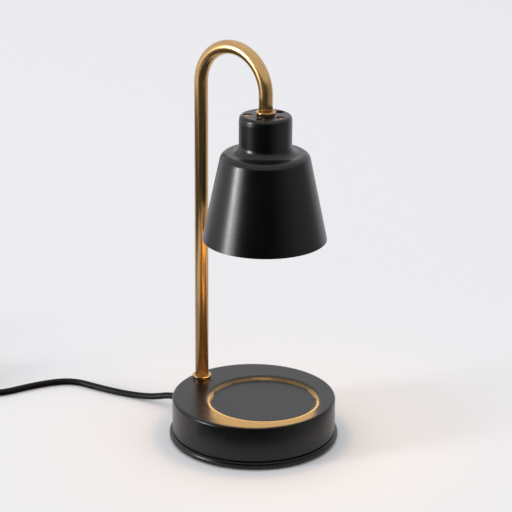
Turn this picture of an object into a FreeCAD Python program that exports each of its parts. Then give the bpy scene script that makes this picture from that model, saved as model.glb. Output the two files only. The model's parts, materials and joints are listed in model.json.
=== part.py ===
import FreeCAD, Part
import math
import os

from FreeCAD import Vector

# Candle warmer lamp. Millimetres, +Z up, origin under the middle of the base, on the surface it stands on.
# The arm lies in the XZ plane: the tube's foot is at -X, the shade and the candle dish share an axis at +X.

# ---------------------------------------------------------------- driving dimensions
# Base
flange_proud = 2.3
cover_rim_h = 4.8
cover_rim_round = 2.3
cover_t = 2.5
cap_d = 120.4
base_h = 32.5
cap_wall = 1.2
cap_edge_round = 2.0
groove_h = 1.2
groove_depth = 0.8
spigot_h = 5.0
spigot_wall = 1.5
fit_gap = 0.1

# Candle dish in the cap's top
dish_edge_gap = 4.7
dish_slope_w = 3.5
dish_depth = 2.8
dish_lip_round = 4.0
dish_foot_round = 2.5
dish_land = 3.0

# Feet
foot_d = 12.0
foot_h = 2.0
foot_proud = 1.0
foot_inset = 8.2
feet_count = 4

# Ballast
ballast_gap = 7.4
ballast_h = 13.0
bay_w = 30.0
bay_past_terminal = 12.0

# Posts under the cap and the screws that hold the cover
post_d = 8.0
post_bore_depth = 14.0
post_room = 1.0
side_post_inset = 10.67
side_post_deg = 114.444
front_post_inset = 8.0
screw_d = 4.0
screw_l = 12.0
screw_head_d = 7.8
screw_head_h = 2.0
screw_gap = 0.05
slot_w = 1.0

# Arm
tube_d = 10.0
tube_wall = 1.0
lamp_h = 297.0
shade_x = 9.0
tube_edge_gap = 9.2
neck_drop = 13.5
tube_foot_tail = 9.8
tube_neck_tail = 9.0
hole_gap = 0.15

# Turned collars on the tube
collar_foot_w = 1.4
collar_lip_reach = 2.15
collar_h = 2.5
collar_floor_h = 1.3
collar_lip_w = 0.55
collar_flare_h = 1.9
collar_edge_round = 0.25

# Washers, nuts and the bush on the tube's ends
washer_d = 14.4
washer_t = 1.2
spring_washer_d = 14.0
spring_washer_t = 1.6
spring_washer_split = 1.5
nut_flats = 14.0
nut_t = 4.0
bush_flange_t = 1.2
bush_stub_l = 4.0
bush_bore_d = 4.8
bush_wall_gap = 0.05

# Shade
shade_wall = 1.0
neck_d = 37.7
neck_h = 27.5
neck_edge_round = 3.0
neck_foot_round = 4.5
shoulder_d = 62.6
cone_h = 64.0
shoulder_round = 5.5
rim_d = 89.4
vent_d = 6.4
vent_inset = 6.35
vent_count = 5
vent_first_angle = 5.6

# Lampholder and its bracket
bracket_w = 12.0
bracket_t = 1.2
bracket_span = 29.0
bracket_bend_r = 2.0
bracket_foot_l = 8.0
bracket_screw_y = 9.8
holder_d = 27.0
holder_h = 20.0
holder_drop = 14.5
holder_edge = 0.8
holder_face_t = 2.6
chamber_h = 12.5
chamber_inner_r = 1.9
chamber_outer_r = 8.1
chamber_margin_deg = 35.0
small_screw_d = 3.0
small_screw_l = 8.0
small_head_d = 5.4
small_head_h = 2.0
thread_gap = 0.05

# Bulb: two pins, twisted into the holder
pin_spacing = 10.0
pin_neck_d = 3.0
pin_head_d = 4.9
pin_head_l = 3.8
pin_head_round = 0.6
pin_gap = 0.3
pin_side_gap = 0.25
twist_deg = 40.0
bulb_d = 50.0
bulb_l = 53.0
bulb_rim_h = 3.4
bulb_glass_t = 1.3
bulb_belly_r = 20.6
bulb_belly_h = 20.0
bulb_base_d = 20.4
bulb_base_l = 18.2
bulb_base_flats = 17.0
bulb_base_flat_l = 13.0
bulb_base_front_round = 0.6
bulb_base_back_round = 1.0
bulb_seat_r = 9.6
lens_t = 1.8
lens_inset = 0.6
lens_edge_round = 0.4
capsule_d = 9.0
capsule_l = 18.0
capsule_inset = 11.0
capsule_front_round = 4.0
capsule_back_round = 1.0
seal_w = 7.0
seal_t = 3.0

# Contact clips over the pins
clip_leaf = 3.4
clip_t = 0.6
clip_barrel_d = 2.8
clip_barrel_l = 3.0

# Wiring
cord_d = 5.0
core_d = 1.8
core_offset = 1.15
lead_d = 1.6
lead_offset = 1.2
lead_bend = 3.0
lead_hole_bend = 1.5
lead_loop_reach = 6.0
core_bend = 1.8
core_bare_l = 2.0
cable_past_clamp = 1.0
wire_in_terminal = 4.0
cord_exit_z = 10.0
terminal_l = 17.0
terminal_w = 16.0
terminal_from_clamp = 27.0
terminal_lead_gap = 1.0
terminal_pitch = 8.0
terminal_bore_z = 5.0
insert_d = 5.0
insert_bore_d = 3.2
insert_l = 13.0
terminal_screw_d = 2.8
terminal_screw_sunk = 2.1
terminal_screw_from_mid = 3.3
terminal_slot_w = 0.5
clamp_inset = 14.0
clamp_l = 6.0
clamp_w = 20.0
clamp_h = 3.8
clamp_split = 0.5
clamp_screw_y = 7.0

# Strain relief in the cap's wall
relief_neck_d = 6.8
relief_slot_gap = 0.1
relief_flange_d = 8.2
relief_flange_t = 1.2
relief_inner_flange_d = 9.2
relief_inner_flange_t = 1.5
relief_wall_gap = 0.2
relief_stub_d = 7.2
relief_stub_l = 8.0
relief_root_d = 7.4
relief_tip_d = 6.2
relief_l = 10.5
relief_groove_w = 0.8
relief_groove_depth = 0.35
relief_groove_pitch = 2.0
relief_groove_count = 4
relief_first_groove = 1.2

# Free cord, in the order it leaves the lamp. Its route is a list of chosen points.
cord_bend_share = 0.45
lamp_side_points = [
    (-79.4, 0.0, 10.0),
    (-97.3, -4.2, 4.3),
    (-113.5, -8.2, 2.5),
    (-131.0, -13.2, 2.5),
    (-151.0, -16.4, 2.5),
    (-164.0, -17.9, 2.5),
    (-175.0, -25.0, 2.5),
    (-182.5, -37.5, 2.5),
    (-188.5, -52.5, 2.5),
    (-193.5, -69.0, 2.5),
    (-200.5, -81.1, 3.3),
    (-212.8, -91.4, 5.3),
    (-230.6, -97.5, 8.3),
    (-249.5, -97.5, 8.3),
]
cord_in_dimmer = 3.4
cord_in_coil = 8.0
coil_turn_outer_r = 37.0
coil_turn_inner_r = 20.3
coil_x = -336.0
coil_leave_deg = 24.0
tie_w = 5.0
tie_t = 0.8
tie_deg = 120.0
tie_lock_l = 6.0
tie_lock_h = 1.6
coil_edge_round = 2.2
tail_points = [
    (-297.3, -56.4, 3.3),
    (-288.7, -64.8, 4.8),
    (-277.1, -69.4, 7.5),
    (-264.5, -69.4, 7.5),
]

# Dimmer on the cord
dimmer_l = 56.0
dimmer_w = 26.0
dimmer_h = 16.6
dimmer_corner_r = 10.0
dimmer_edge_round = 2.5
dimmer_wall = 1.6
dimmer_relief_l = 7.0
dimmer_relief_root_d = 8.4
dimmer_relief_tip_d = 6.4
dimmer_relief_neck_d = 7.0
dimmer_relief_inner_d = 9.0
dimmer_relief_inner_l = 1.6
wheel_d = 22.0
wheel_t = 5.0
wheel_proud = 2.5
wheel_gap = 0.35
wheel_knurls = 28
wheel_knurl_d = 1.4
wheel_knurl_depth = 0.35
wheel_edge_round = 0.6
spindle_d = 4.0
spindle_l = 7.0
spindle_gap = 0.05
board_end_gap = 6.0
board_side_gap = 3.0
board_t = 1.6
board_stand = 0.6
board_stand_x = 11.0
board_stand_l = 2.0
board_stand_w = 10.0
board_hole_gap = 0.4
pot_d = 11.0
pot_wheel_gap = 0.4
choke_d = 7.0
choke_l = 8.0
triac_l = 5.0
triac_w = 8.0
triac_h = 6.0
part_from_wheel = 5.5
board_part_y = -3.2
dimmer_screw_end_gap = 7.0
dimmer_screw_side_gap = 7.8
dimmer_screw_sunk = 0.3
dimmer_screw_boss_d = 6.0
dimmer_screw_l = 10.0
dimmer_screw_d = 2.6
dimmer_screw_head_d = 4.6
dimmer_screw_head_h = 1.6

# Plug
plug_l = 27.0
plug_w = 25.0
plug_rear_w = 13.0
plug_rear_l = 12.0
plug_t = 15.0
plug_corner_r = 3.0
plug_edge_round = 2.2
plug_relief_l = 12.0
plug_relief_root_d = 9.0
plug_relief_tip_d = 6.4
plug_cord_depth = 6.9
plug_grip_count = 4
plug_grip_w = 1.2
plug_grip_depth = 0.6
plug_grip_pitch = 2.8
blade_spacing = 12.7
blade_w = 6.35
blade_t = 1.5
blade_l = 17.0
blade_embed = 6.0
blade_tip_chamfer = 1.6
blade_hole_d = 3.1
blade_hole_from_tip = 4.6

# ---------------------------------------------------------------- derived places
cover_z = foot_proud
cover_top_z = cover_z + cover_t
cover_rim_top_z = cover_z + cover_rim_h
cap_r = cap_d / 2
cap_inner_r = cap_r - cap_wall
cap_foot_z = cover_rim_top_z + groove_h
flange_d = cap_d + 2 * flange_proud
cap_under_z = base_h - cap_wall
dish_floor_z = base_h - dish_depth
dish_under_z = dish_floor_z - cap_wall
dish_land_r = cap_r - cap_edge_round - dish_edge_gap - shade_x
dish_top_r = dish_land_r - dish_land
dish_floor_r = dish_top_r - dish_slope_w
ballast_r = cap_inner_r - fit_gap - spigot_wall - ballast_gap
feet_circle_d = cap_d - 2 * foot_inset
tube_r = tube_d / 2
tube_foot_x = tube_edge_gap - cap_r
arch_r = (shade_x - tube_foot_x) / 2
arch_top_z = lamp_h - tube_r
neck_top_z = arch_top_z - arch_r - neck_drop
shoulder_z = neck_top_z - neck_h
rim_z = shoulder_z - cone_h
vent_circle_d = neck_d - 2 * vent_inset
collar_foot_r = tube_r + collar_foot_w
collar_lip_r = tube_r + collar_lip_reach
tube_bore_r = tube_r - tube_wall
neck_under_z = neck_top_z - shade_wall
tube_foot_z = cap_under_z - tube_foot_tail
tube_neck_z = neck_under_z - tube_neck_tail
bracket_top_z = neck_under_z - washer_t
holder_top_z = neck_under_z - holder_drop
holder_face_z = holder_top_z - holder_h
pin_r = pin_spacing / 2
bulb_top_z = holder_face_z - pin_gap
bulb_base_z = bulb_top_z - bulb_base_l
bulb_front_z = holder_face_z - bulb_l
capsule_front_z = bulb_front_z + capsule_inset
pin_head_z = holder_face_z + holder_face_t + pin_gap
pin_top_z = pin_head_z + pin_head_l
clip_z = pin_top_z + pin_gap
chamber_z = holder_face_z + holder_face_t
terminal_z = cover_top_z + terminal_bore_z
clamp_x = clamp_inset - cap_inner_r
terminal_far_x = clamp_x + terminal_from_clamp
terminal_near_x = terminal_far_x - terminal_l
terminal_mid_x = terminal_far_x - terminal_l / 2
cord_r = cord_d / 2
cord_exit = Vector(-cap_r, 0, cord_exit_z)
lamp_route = [cord_exit] + [Vector(*point) for point in lamp_side_points]
dimmer_y = lamp_route[-1].y
dimmer_z = dimmer_h / 2
dimmer_near_x = lamp_route[-1].x + cord_in_dimmer
dimmer_x = dimmer_near_x - dimmer_l / 2
dimmer_far_x = dimmer_near_x - dimmer_l
wheel_y = dimmer_y - dimmer_w / 2 - wheel_proud + wheel_d / 2
coil_y = dimmer_y + coil_turn_outer_r
coil_low_z = tie_t + cord_r
coil_high_z = coil_low_z + cord_d
lead_in_route = [
    Vector(dimmer_far_x + cord_in_dimmer, dimmer_y, dimmer_z),
    Vector(coil_x + cord_in_coil, dimmer_y, coil_high_z),
]
coil_leave = math.radians(coil_leave_deg)
tail_start = Vector(
    coil_x + coil_turn_outer_r * math.cos(coil_leave),
    coil_y + coil_turn_outer_r * math.sin(coil_leave),
    coil_low_z,
)
tail_route = [tail_start] + [Vector(*point) for point in tail_points]
plug_y = tail_route[-1].y
plug_z = plug_t / 2
plug_rear_x = tail_route[-1].x + plug_relief_l - plug_cord_depth
plug_front_x = plug_rear_x + plug_l

UP = Vector(0, 0, 1)
TOUCHING = 1e-6


# ---------------------------------------------------------------- shapes used again and again
def rounded_path(corners, closed):
    """A wire through corners, each a (point, radius) pair: straight runs joined by tangent arcs."""
    count = len(corners)
    cuts = []
    for index, (point, radius) in enumerate(corners):
        is_end = not closed and index in (0, count - 1)
        if is_end or radius == 0:
            cuts.append((point, None, point))
            continue
        before = (point - corners[index - 1][0]).normalize()
        after = (corners[(index + 1) % count][0] - point).normalize()
        half_turn = before.getAngle(after) / 2
        reach = radius * math.tan(half_turn)
        inward = (after - before).normalize()
        middle = point + inward * (radius / math.cos(half_turn) - radius)
        cuts.append((point - before * reach, middle, point + after * reach))
    edges = []
    for index, (start, middle, end) in enumerate(cuts):
        if middle is not None:
            edges.append(Part.Arc(start, middle, end).toShape())
        if closed or index < count - 1:
            following = cuts[(index + 1) % count][0]
            if (following - end).Length > TOUCHING:
                edges.append(Part.makeLine(end, following))
    return Part.Wire(edges)


def corner_radius(entry):
    """The third number of an outline's corner, or 0 where it is sharp."""
    return entry[2] if len(entry) > 2 else 0


def lathe(outline, x=0.0, y=0.0):
    """A solid turned about a vertical axis; the outline's corners are (radius, height[, rounding])."""
    corners = [(Vector(entry[0], 0, entry[1]), corner_radius(entry)) for entry in outline]
    solid = Part.Face(rounded_path(corners, True)).revolve(Vector(0, 0, 0), UP, 360)
    solid.translate(Vector(x, y, 0))
    return solid


def lathe_along_x(outline, x, y, z, way):
    """A solid turned about an axis along X; corners are (radius, distance from x[, rounding]) towards way."""
    corners = [(Vector(entry[0], 0, entry[1]), corner_radius(entry)) for entry in outline]
    solid = Part.Face(rounded_path(corners, True)).revolve(Vector(0, 0, 0), UP, 360)
    solid.rotate(Vector(0, 0, 0), Vector(0, 1, 0), 90 * way)
    solid.translate(Vector(x, y, z))
    return solid


def prism(outline, z, height):
    """An upright solid; the outline's corners are (x, y[, rounding])."""
    corners = [(Vector(entry[0], entry[1], z), corner_radius(entry)) for entry in outline]
    return Part.Face(rounded_path(corners, True)).extrude(UP * height)


def moved_right(line, distance):
    """An open outline moved to the right of its own direction, with its roundings kept concentric."""
    points = [Vector(entry[0], entry[1], 0) for entry in line]
    ways = [(b - a).normalize() for a, b in zip(points, points[1:])]
    rights = [Vector(way.y, -way.x, 0) for way in ways]
    moved = [(points[0] + rights[0] * distance, 0)]
    for index in range(1, len(points) - 1):
        one, two = rights[index - 1], rights[index]
        corner = points[index] + (one + two) * (distance / (1 + one.dot(two)))
        turns_right = ways[index - 1].cross(ways[index]).z < 0
        rounding = corner_radius(line[index])
        moved.append((corner, rounding - distance if turns_right else rounding + distance))
    moved.append((points[-1] + rights[-1] * distance, 0))
    return [(point.x, point.y, rounding) for point, rounding in moved]


def walled(line, wall):
    """A closed outline: an open line as the outer face, and the same line one wall to its right."""
    return list(line) + moved_right(line, wall)[::-1]


def cylinder(d, z, height, x=0.0, y=0.0):
    return Part.makeCylinder(d / 2, height, Vector(x, y, z))


def box(x0, x1, y0, y1, z0, z1):
    return Part.makeBox(x1 - x0, y1 - y0, z1 - z0, Vector(x0, y0, z0))


def ring(outer_d, inner_d, z, height, x=0.0, y=0.0):
    return cylinder(outer_d, z, height, x, y).cut(cylinder(inner_d, z, height, x, y))


def pipe(corners, radius):
    """A round bar along a path of (point, radius) corners."""
    start = corners[0][0]
    way = corners[1][0] - start
    section = Part.Wire(Part.makeCircle(radius, start, way))
    return rounded_path(corners, False).makePipeShell([section], True, False)


def cord_corners(points):
    """A cord's corners: each arc is as large as its two runs allow."""
    corners = [(points[0], 0)]
    for before, point, after in zip(points, points[1:], points[2:]):
        run = min((point - before).Length, (after - point).Length)
        half_turn = (point - before).getAngle(after - point) / 2
        corners.append((point, cord_bend_share * run / math.tan(half_turn)))
    corners.append((points[-1], 0))
    return corners


def cord_tube(points):
    """The cord along an uncoiled stretch; prints its bends and compares its volume with its length."""
    corners = cord_corners(points)
    tube = pipe(corners, cord_r)
    length = rounded_path(corners, False).Length
    share = tube.Volume / (math.pi * cord_r**2 * length)
    bends = " ".join(f"{radius:.0f}" for _, radius in corners[1:-1])
    print(f"cord length {length:.1f}, volume over section times length {share:.4f}, radii {bends}")
    return tube


def countersunk_screw(x, y, z, gap):
    """A countersunk screw pointing up, with its head's face at z; gap makes the hole that it goes through."""
    head_r = screw_head_d / 2 + gap
    shank_r = screw_d / 2 + gap
    head = Part.makeCone(head_r, shank_r, screw_head_h, Vector(x, y, z))
    return head.fuse(cylinder(2 * shank_r, z, screw_l, x, y)).removeSplitter()


def pan_screw(x, y, z, length, shank_d, head_d, head_h):
    """A small screw pointing down, with its head resting at z and a slot across the head."""
    head = cylinder(head_d, z, head_h, x, y)
    slot = box(x - head_d, x + head_d, y - slot_w / 2, y + slot_w / 2, z + head_h / 2, z + head_h)
    return head.cut(slot).fuse(cylinder(shank_d, z - length, length, x, y)).removeSplitter()


def level_edges(solid):
    """The edges that lie flat, as round the top and bottom of a prism."""
    return [edge for edge in solid.Edges if edge.BoundBox.ZLength < TOUCHING]


def round_pattern(count, circle_d, first_deg):
    """Places on a circle, as (x, y) pairs about its centre."""
    angles = [math.radians(first_deg + 360.0 * index / count) for index in range(count)]
    return [(circle_d / 2 * math.cos(angle), circle_d / 2 * math.sin(angle)) for angle in angles]


# ---------------------------------------------------------------- base
side_post_angle = math.radians(side_post_deg)
side_post_x = (cap_inner_r - side_post_inset) * math.cos(side_post_angle)
side_post_y = (cap_inner_r - side_post_inset) * math.sin(side_post_angle)
post_places = [
    (shade_x + dish_floor_r - front_post_inset, 0.0, dish_under_z),
    (side_post_x, side_post_y, cap_under_z),
    (side_post_x, -side_post_y, cap_under_z),
]
feet_places = round_pattern(feet_count, feet_circle_d, 180.0 / feet_count)


def make_base_cap():
    wall_line = [(0, base_h), (cap_r, base_h, cap_edge_round), (cap_r, cap_foot_z)]
    shell = lathe(walled(wall_line, cap_wall))
    dish_line = [
        (0, dish_floor_z),
        (dish_floor_r, dish_floor_z, dish_foot_round),
        (dish_top_r, base_h, dish_lip_round),
        (dish_land_r, base_h),
    ]
    dish = lathe(walled(dish_line, cap_wall), shade_x)
    cap = shell.cut(cylinder(2 * dish_land_r, cap_under_z, cap_wall, shade_x)).fuse(dish).removeSplitter()
    cap = cap.cut(cylinder(tube_d + 2 * hole_gap, cap_under_z, cap_wall, tube_foot_x))
    slot_r = relief_neck_d / 2 + relief_slot_gap
    slot_start = cord_exit + Vector(-cap_wall, 0, 0)
    slot_top = Part.makeCylinder(slot_r, 3 * cap_wall, slot_start, Vector(1, 0, 0))
    slot_foot = box(-cap_r - cap_wall, -cap_inner_r + cap_wall, -slot_r, slot_r, cap_foot_z, cord_exit_z)
    return cap.cut(slot_top).cut(slot_foot)


def make_base_cover():
    seat_r = cap_r - groove_depth
    spigot_r = cap_inner_r - fit_gap
    outline = [
        (0, cover_z),
        (flange_d / 2, cover_z, cover_rim_round),
        (flange_d / 2, cover_rim_top_z, cover_rim_round),
        (seat_r, cover_rim_top_z),
        (seat_r, cap_foot_z),
        (spigot_r, cap_foot_z),
        (spigot_r, cap_foot_z + spigot_h),
        (spigot_r - spigot_wall, cap_foot_z + spigot_h),
        (spigot_r - spigot_wall, cover_top_z),
        (0, cover_top_z),
    ]
    cover = lathe(outline)
    boss_top_z = cord_exit_z - clamp_split / 2
    boss = box(
        clamp_x - clamp_l / 2, clamp_x + clamp_l / 2, -clamp_w / 2, clamp_w / 2, cover_top_z, boss_top_z
    )
    cover = cover.fuse(boss).removeSplitter()
    cover = cover.cut(make_inner_cable())
    notch_half_w = relief_inner_flange_d / 2 + relief_wall_gap
    notch_z = cord_exit_z - notch_half_w
    notch_x = -spigot_r + relief_inner_flange_t + relief_stub_l
    cover = cover.cut(
        box(-seat_r, notch_x, -notch_half_w, notch_half_w, notch_z, cap_foot_z + spigot_h)
    )
    for x, y in feet_places:
        cover = cover.cut(cylinder(foot_d, cover_z, foot_h - foot_proud, x, y))
    for x, y, _ in post_places:
        cover = cover.cut(countersunk_screw(x, y, cover_z, screw_gap))
    for side in (-1, 1):
        hole_z = boss_top_z - small_screw_l + clamp_h
        cover = cover.cut(cylinder(small_screw_d, hole_z, small_screw_l, clamp_x, side * clamp_screw_y))
    return cover


def make_feet():
    return Part.makeCompound([cylinder(foot_d, 0, foot_h, x, y) for x, y in feet_places])


def make_ballast():
    top_z = cover_top_z + ballast_h
    ballast = cylinder(2 * ballast_r, cover_top_z, ballast_h)
    bay_end_x = terminal_far_x + bay_past_terminal
    bay = box(-ballast_r, bay_end_x, -bay_w / 2, bay_w / 2, cover_top_z, top_z)
    ballast = ballast.cut(bay)
    for x, y, _ in post_places:
        ballast = ballast.cut(cylinder(post_d + 2 * post_room, cover_top_z, ballast_h, x, y))
    return ballast


def make_cap_posts():
    posts = []
    for x, y, top_z in post_places:
        post = cylinder(post_d, cover_top_z, top_z - cover_top_z, x, y)
        posts.append(post.cut(cylinder(screw_d, cover_top_z, post_bore_depth, x, y)))
    return Part.makeCompound(posts)


def make_cover_screws():
    screws = []
    for x, y, _ in post_places:
        screw = countersunk_screw(x, y, cover_z, 0.0)
        long_half = screw_head_d / 3
        for half_x, half_y in ((long_half, slot_w / 2), (slot_w / 2, long_half)):
            screw = screw.cut(box(x - half_x, x + half_x, y - half_y, y + half_y, cover_z, cover_z + slot_w))
        screws.append(screw)
    return Part.makeCompound(screws)


# ---------------------------------------------------------------- arm
def arm_corners(y, foot_z, neck_z):
    """The arm's line at a distance y from its own plane: up, over in a half circle, and down."""
    return [
        (Vector(tube_foot_x, y, foot_z), 0),
        (Vector(tube_foot_x, y, arch_top_z), arch_r),
        (Vector(shade_x, y, arch_top_z), arch_r),
        (Vector(shade_x, y, neck_z), 0),
    ]


def make_tube():
    corners = arm_corners(0, tube_foot_z, tube_neck_z)
    return pipe(corners, tube_r).cut(pipe(corners, tube_bore_r))


def make_collar(x, z):
    outline = [
        (tube_r, z),
        (collar_foot_r, z, collar_edge_round),
        (collar_lip_r, z + collar_flare_h, collar_edge_round),
        (collar_lip_r, z + collar_h, collar_edge_round),
        (collar_lip_r - collar_lip_w, z + collar_h, collar_edge_round),
        (collar_foot_r - collar_lip_w, z + collar_floor_h, collar_edge_round),
        (tube_r, z + collar_floor_h),
    ]
    return lathe(outline, x)


def make_hex_nut(x, top_z):
    corner_r = nut_flats / math.sqrt(3)
    corners = [math.radians(30 + 60 * index) for index in range(6)]
    outline = [(x + corner_r * math.cos(a), corner_r * math.sin(a)) for a in corners]
    return prism(outline, top_z - nut_t, nut_t).cut(cylinder(tube_d, top_z - nut_t, nut_t, x))


def make_spring_washer():
    top_z = cap_under_z - washer_t
    z = top_z - spring_washer_t
    washer = ring(spring_washer_d, tube_d + 2 * hole_gap, z, spring_washer_t, tube_foot_x)
    half = spring_washer_split / 2
    split = box(tube_foot_x, tube_foot_x + spring_washer_d, -half, half, z, top_z)
    return washer.cut(split)


def make_tube_bush():
    flange = cylinder(tube_d, tube_foot_z - bush_flange_t, bush_flange_t, tube_foot_x)
    stub = cylinder(2 * (tube_bore_r - bush_wall_gap), tube_foot_z, bush_stub_l, tube_foot_x)
    bore = cylinder(bush_bore_d, tube_foot_z - bush_flange_t, bush_flange_t + bush_stub_l, tube_foot_x)
    return flange.fuse(stub).removeSplitter().cut(bore)


# ---------------------------------------------------------------- shade and lampholder
def make_shade():
    line = [
        (tube_r + hole_gap, neck_top_z),
        (neck_d / 2, neck_top_z, neck_edge_round),
        (neck_d / 2, shoulder_z, neck_foot_round),
        (shoulder_d / 2, shoulder_z, shoulder_round),
        (rim_d / 2, rim_z),
    ]
    shade = lathe(walled(line, shade_wall), shade_x)
    for x, y in round_pattern(vent_count, vent_circle_d, vent_first_angle):
        shade = shade.cut(cylinder(vent_d, neck_under_z, shade_wall, shade_x + x, y))
    return shade


def make_holder_bracket():
    half = bracket_span / 2
    top = bracket_top_z
    foot_top = holder_top_z + bracket_t
    inner = half - bracket_t
    inner_bend = bracket_bend_r - bracket_t
    outline = [
        (-half + bracket_foot_l, holder_top_z),
        (-half, holder_top_z, bracket_bend_r),
        (-half, top, bracket_bend_r),
        (half, top, bracket_bend_r),
        (half, holder_top_z, bracket_bend_r),
        (half - bracket_foot_l, holder_top_z),
        (half - bracket_foot_l, foot_top),
        (inner, foot_top, inner_bend),
        (inner, top - bracket_t, inner_bend),
        (-inner, top - bracket_t, inner_bend),
        (-inner, foot_top, inner_bend),
        (-half + bracket_foot_l, foot_top),
    ]
    corners = [(Vector(shade_x - bracket_w / 2, e[0], e[1]), corner_radius(e)) for e in outline]
    strap = Part.Face(rounded_path(corners, True)).extrude(Vector(bracket_w, 0, 0))
    strap = strap.cut(cylinder(tube_d + 2 * hole_gap, top - bracket_t, bracket_t, shade_x))
    for side in (-1, 1):
        y = side * bracket_screw_y
        strap = strap.cut(cylinder(small_screw_d + 2 * hole_gap, holder_top_z, bracket_t, shade_x, y))
    return strap


def make_bracket_screws():
    z = holder_top_z + bracket_t
    sizes = (small_screw_l, small_screw_d, small_head_d, small_head_h)
    return Part.makeCompound([pan_screw(shade_x, side * bracket_screw_y, z, *sizes) for side in (-1, 1)])


def ring_sector(inner_r, outer_r, z, height, from_deg, to_deg):
    """Part of a ring about the shade's axis, between two angles."""
    centre = Vector(shade_x, 0, z)
    wedge = Part.makeCylinder(outer_r, height, centre, UP, to_deg - from_deg)
    wedge = wedge.cut(Part.makeCylinder(inner_r, height, centre))
    wedge.rotate(centre, UP, from_deg)
    return wedge


def make_lampholder():
    edge = holder_edge
    half = holder_d / 2
    holder = lathe(
        [
            (0, holder_face_z),
            (half, holder_face_z, edge),
            (half, holder_top_z, edge),
            (0, holder_top_z),
        ],
        shade_x,
    )
    neck_room = pin_neck_d / 2 + pin_side_gap
    head_room = pin_head_d + 2 * pin_side_gap
    for pin_deg in (0, 180):
        entry_deg = pin_deg - twist_deg
        entry = math.radians(entry_deg)
        locked = math.radians(pin_deg)
        chamber = ring_sector(
            chamber_inner_r,
            chamber_outer_r,
            chamber_z,
            chamber_h,
            entry_deg - chamber_margin_deg,
            pin_deg + chamber_margin_deg,
        )
        track = ring_sector(
            pin_r - neck_room, pin_r + neck_room, holder_face_z, holder_face_t, entry_deg, pin_deg
        )
        mouth_x = shade_x + pin_r * math.cos(entry)
        mouth = cylinder(head_room, holder_face_z, holder_face_t, mouth_x, pin_r * math.sin(entry))
        end_x = shade_x + pin_r * math.cos(locked)
        track_end = cylinder(2 * neck_room, holder_face_z, holder_face_t, end_x, pin_r * math.sin(locked))
        wire_hole = cylinder(lead_d, chamber_z, holder_top_z - chamber_z, end_x, 0)
        for hole in (chamber, track, mouth, track_end, wire_hole):
            holder = holder.cut(hole)
    for side in (-1, 1):
        depth = small_screw_l - bracket_t
        hole = cylinder(small_screw_d, holder_top_z - depth, depth, shade_x, side * bracket_screw_y)
        holder = holder.cut(hole)
    return holder


def make_contact_clips():
    clips = []
    barrel_z = chamber_z + chamber_h - clip_barrel_l
    for side in (-1, 1):
        x = shade_x + side * pin_r
        half = clip_leaf / 2
        leaf = box(x - half, x + half, -half, half, clip_z, clip_z + clip_t)
        barrel = ring(clip_barrel_d, lead_d, barrel_z, clip_barrel_l, x)
        tab_x = x + side * (lead_d / 2)
        far_x = x + side * (clip_barrel_d / 2)
        tab = box(min(tab_x, far_x), max(tab_x, far_x), -half / 2, half / 2, clip_z, barrel_z)
        clips.append(leaf.fuse(tab).fuse(barrel).removeSplitter())
    return Part.makeCompound(clips)


# ---------------------------------------------------------------- bulb
def make_bulb_reflector():
    rim_z_top = bulb_front_z + bulb_rim_h
    belly_z = bulb_front_z + bulb_belly_h
    half = bulb_d / 2
    throat_r = bulb_seat_r
    outer = Part.Arc(
        Vector(half, 0, rim_z_top), Vector(bulb_belly_r, 0, belly_z), Vector(throat_r, 0, bulb_base_z)
    )
    inner = Part.Arc(
        Vector(throat_r - bulb_glass_t, 0, bulb_base_z),
        Vector(bulb_belly_r - bulb_glass_t, 0, belly_z - bulb_glass_t / 2),
        Vector(half - bulb_glass_t, 0, rim_z_top - bulb_glass_t),
    )
    corners = [
        inner.EndPoint,
        Vector(half - bulb_glass_t, 0, bulb_front_z),
        Vector(half, 0, bulb_front_z),
        outer.StartPoint,
    ]
    edges = [Part.makeLine(a, b) for a, b in zip(corners, corners[1:])]
    edges.append(outer.toShape())
    edges.append(Part.makeLine(outer.EndPoint, inner.StartPoint))
    edges.append(inner.toShape())
    reflector = Part.Face(Part.Wire(edges)).revolve(Vector(0, 0, 0), UP, 360)
    reflector.translate(Vector(shade_x, 0, 0))
    return reflector


def make_bulb_front_lens():
    lens_r = bulb_d / 2 - bulb_glass_t
    z = bulb_front_z + lens_inset
    edge = lens_edge_round
    return lathe([(0, z), (lens_r, z, edge), (lens_r, z + lens_t, edge), (0, z + lens_t)], shade_x)


def make_bulb_capsule():
    burner_r = capsule_d / 2
    z = capsule_front_z
    top = z + capsule_l
    burner = lathe(
        [(0, z), (burner_r, z, capsule_front_round), (burner_r, top, capsule_back_round), (0, top)], shade_x
    )
    x = shade_x
    seal = box(x - seal_w / 2, x + seal_w / 2, -seal_t / 2, seal_t / 2, top - capsule_back_round, bulb_base_z)
    return burner.fuse(seal).removeSplitter()


def make_bulb_base():
    half = bulb_base_d / 2
    base = lathe(
        [
            (0, bulb_base_z),
            (half, bulb_base_z, bulb_base_front_round),
            (half, bulb_top_z, bulb_base_back_round),
            (0, bulb_top_z),
        ],
        shade_x,
    )
    flat_z = bulb_top_z - bulb_base_flat_l
    x0 = shade_x - bulb_base_d
    x1 = shade_x + bulb_base_d
    for side in (-1, 1):
        y0, y1 = sorted((side * bulb_base_flats / 2, side * bulb_base_d))
        base = base.cut(box(x0, x1, y0, y1, flat_z, bulb_top_z))
    return base


def make_bulb_pins():
    pins = []
    for side in (-1, 1):
        neck_r = pin_neck_d / 2
        head_r = pin_head_d / 2
        outline = [
            (0, bulb_top_z),
            (neck_r, bulb_top_z),
            (neck_r, pin_head_z),
            (head_r, pin_head_z, pin_head_round),
            (head_r, pin_top_z, pin_head_round),
            (0, pin_top_z),
        ]
        pins.append(lathe(outline, shade_x + side * pin_r))
    return Part.makeCompound(pins)


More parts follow.
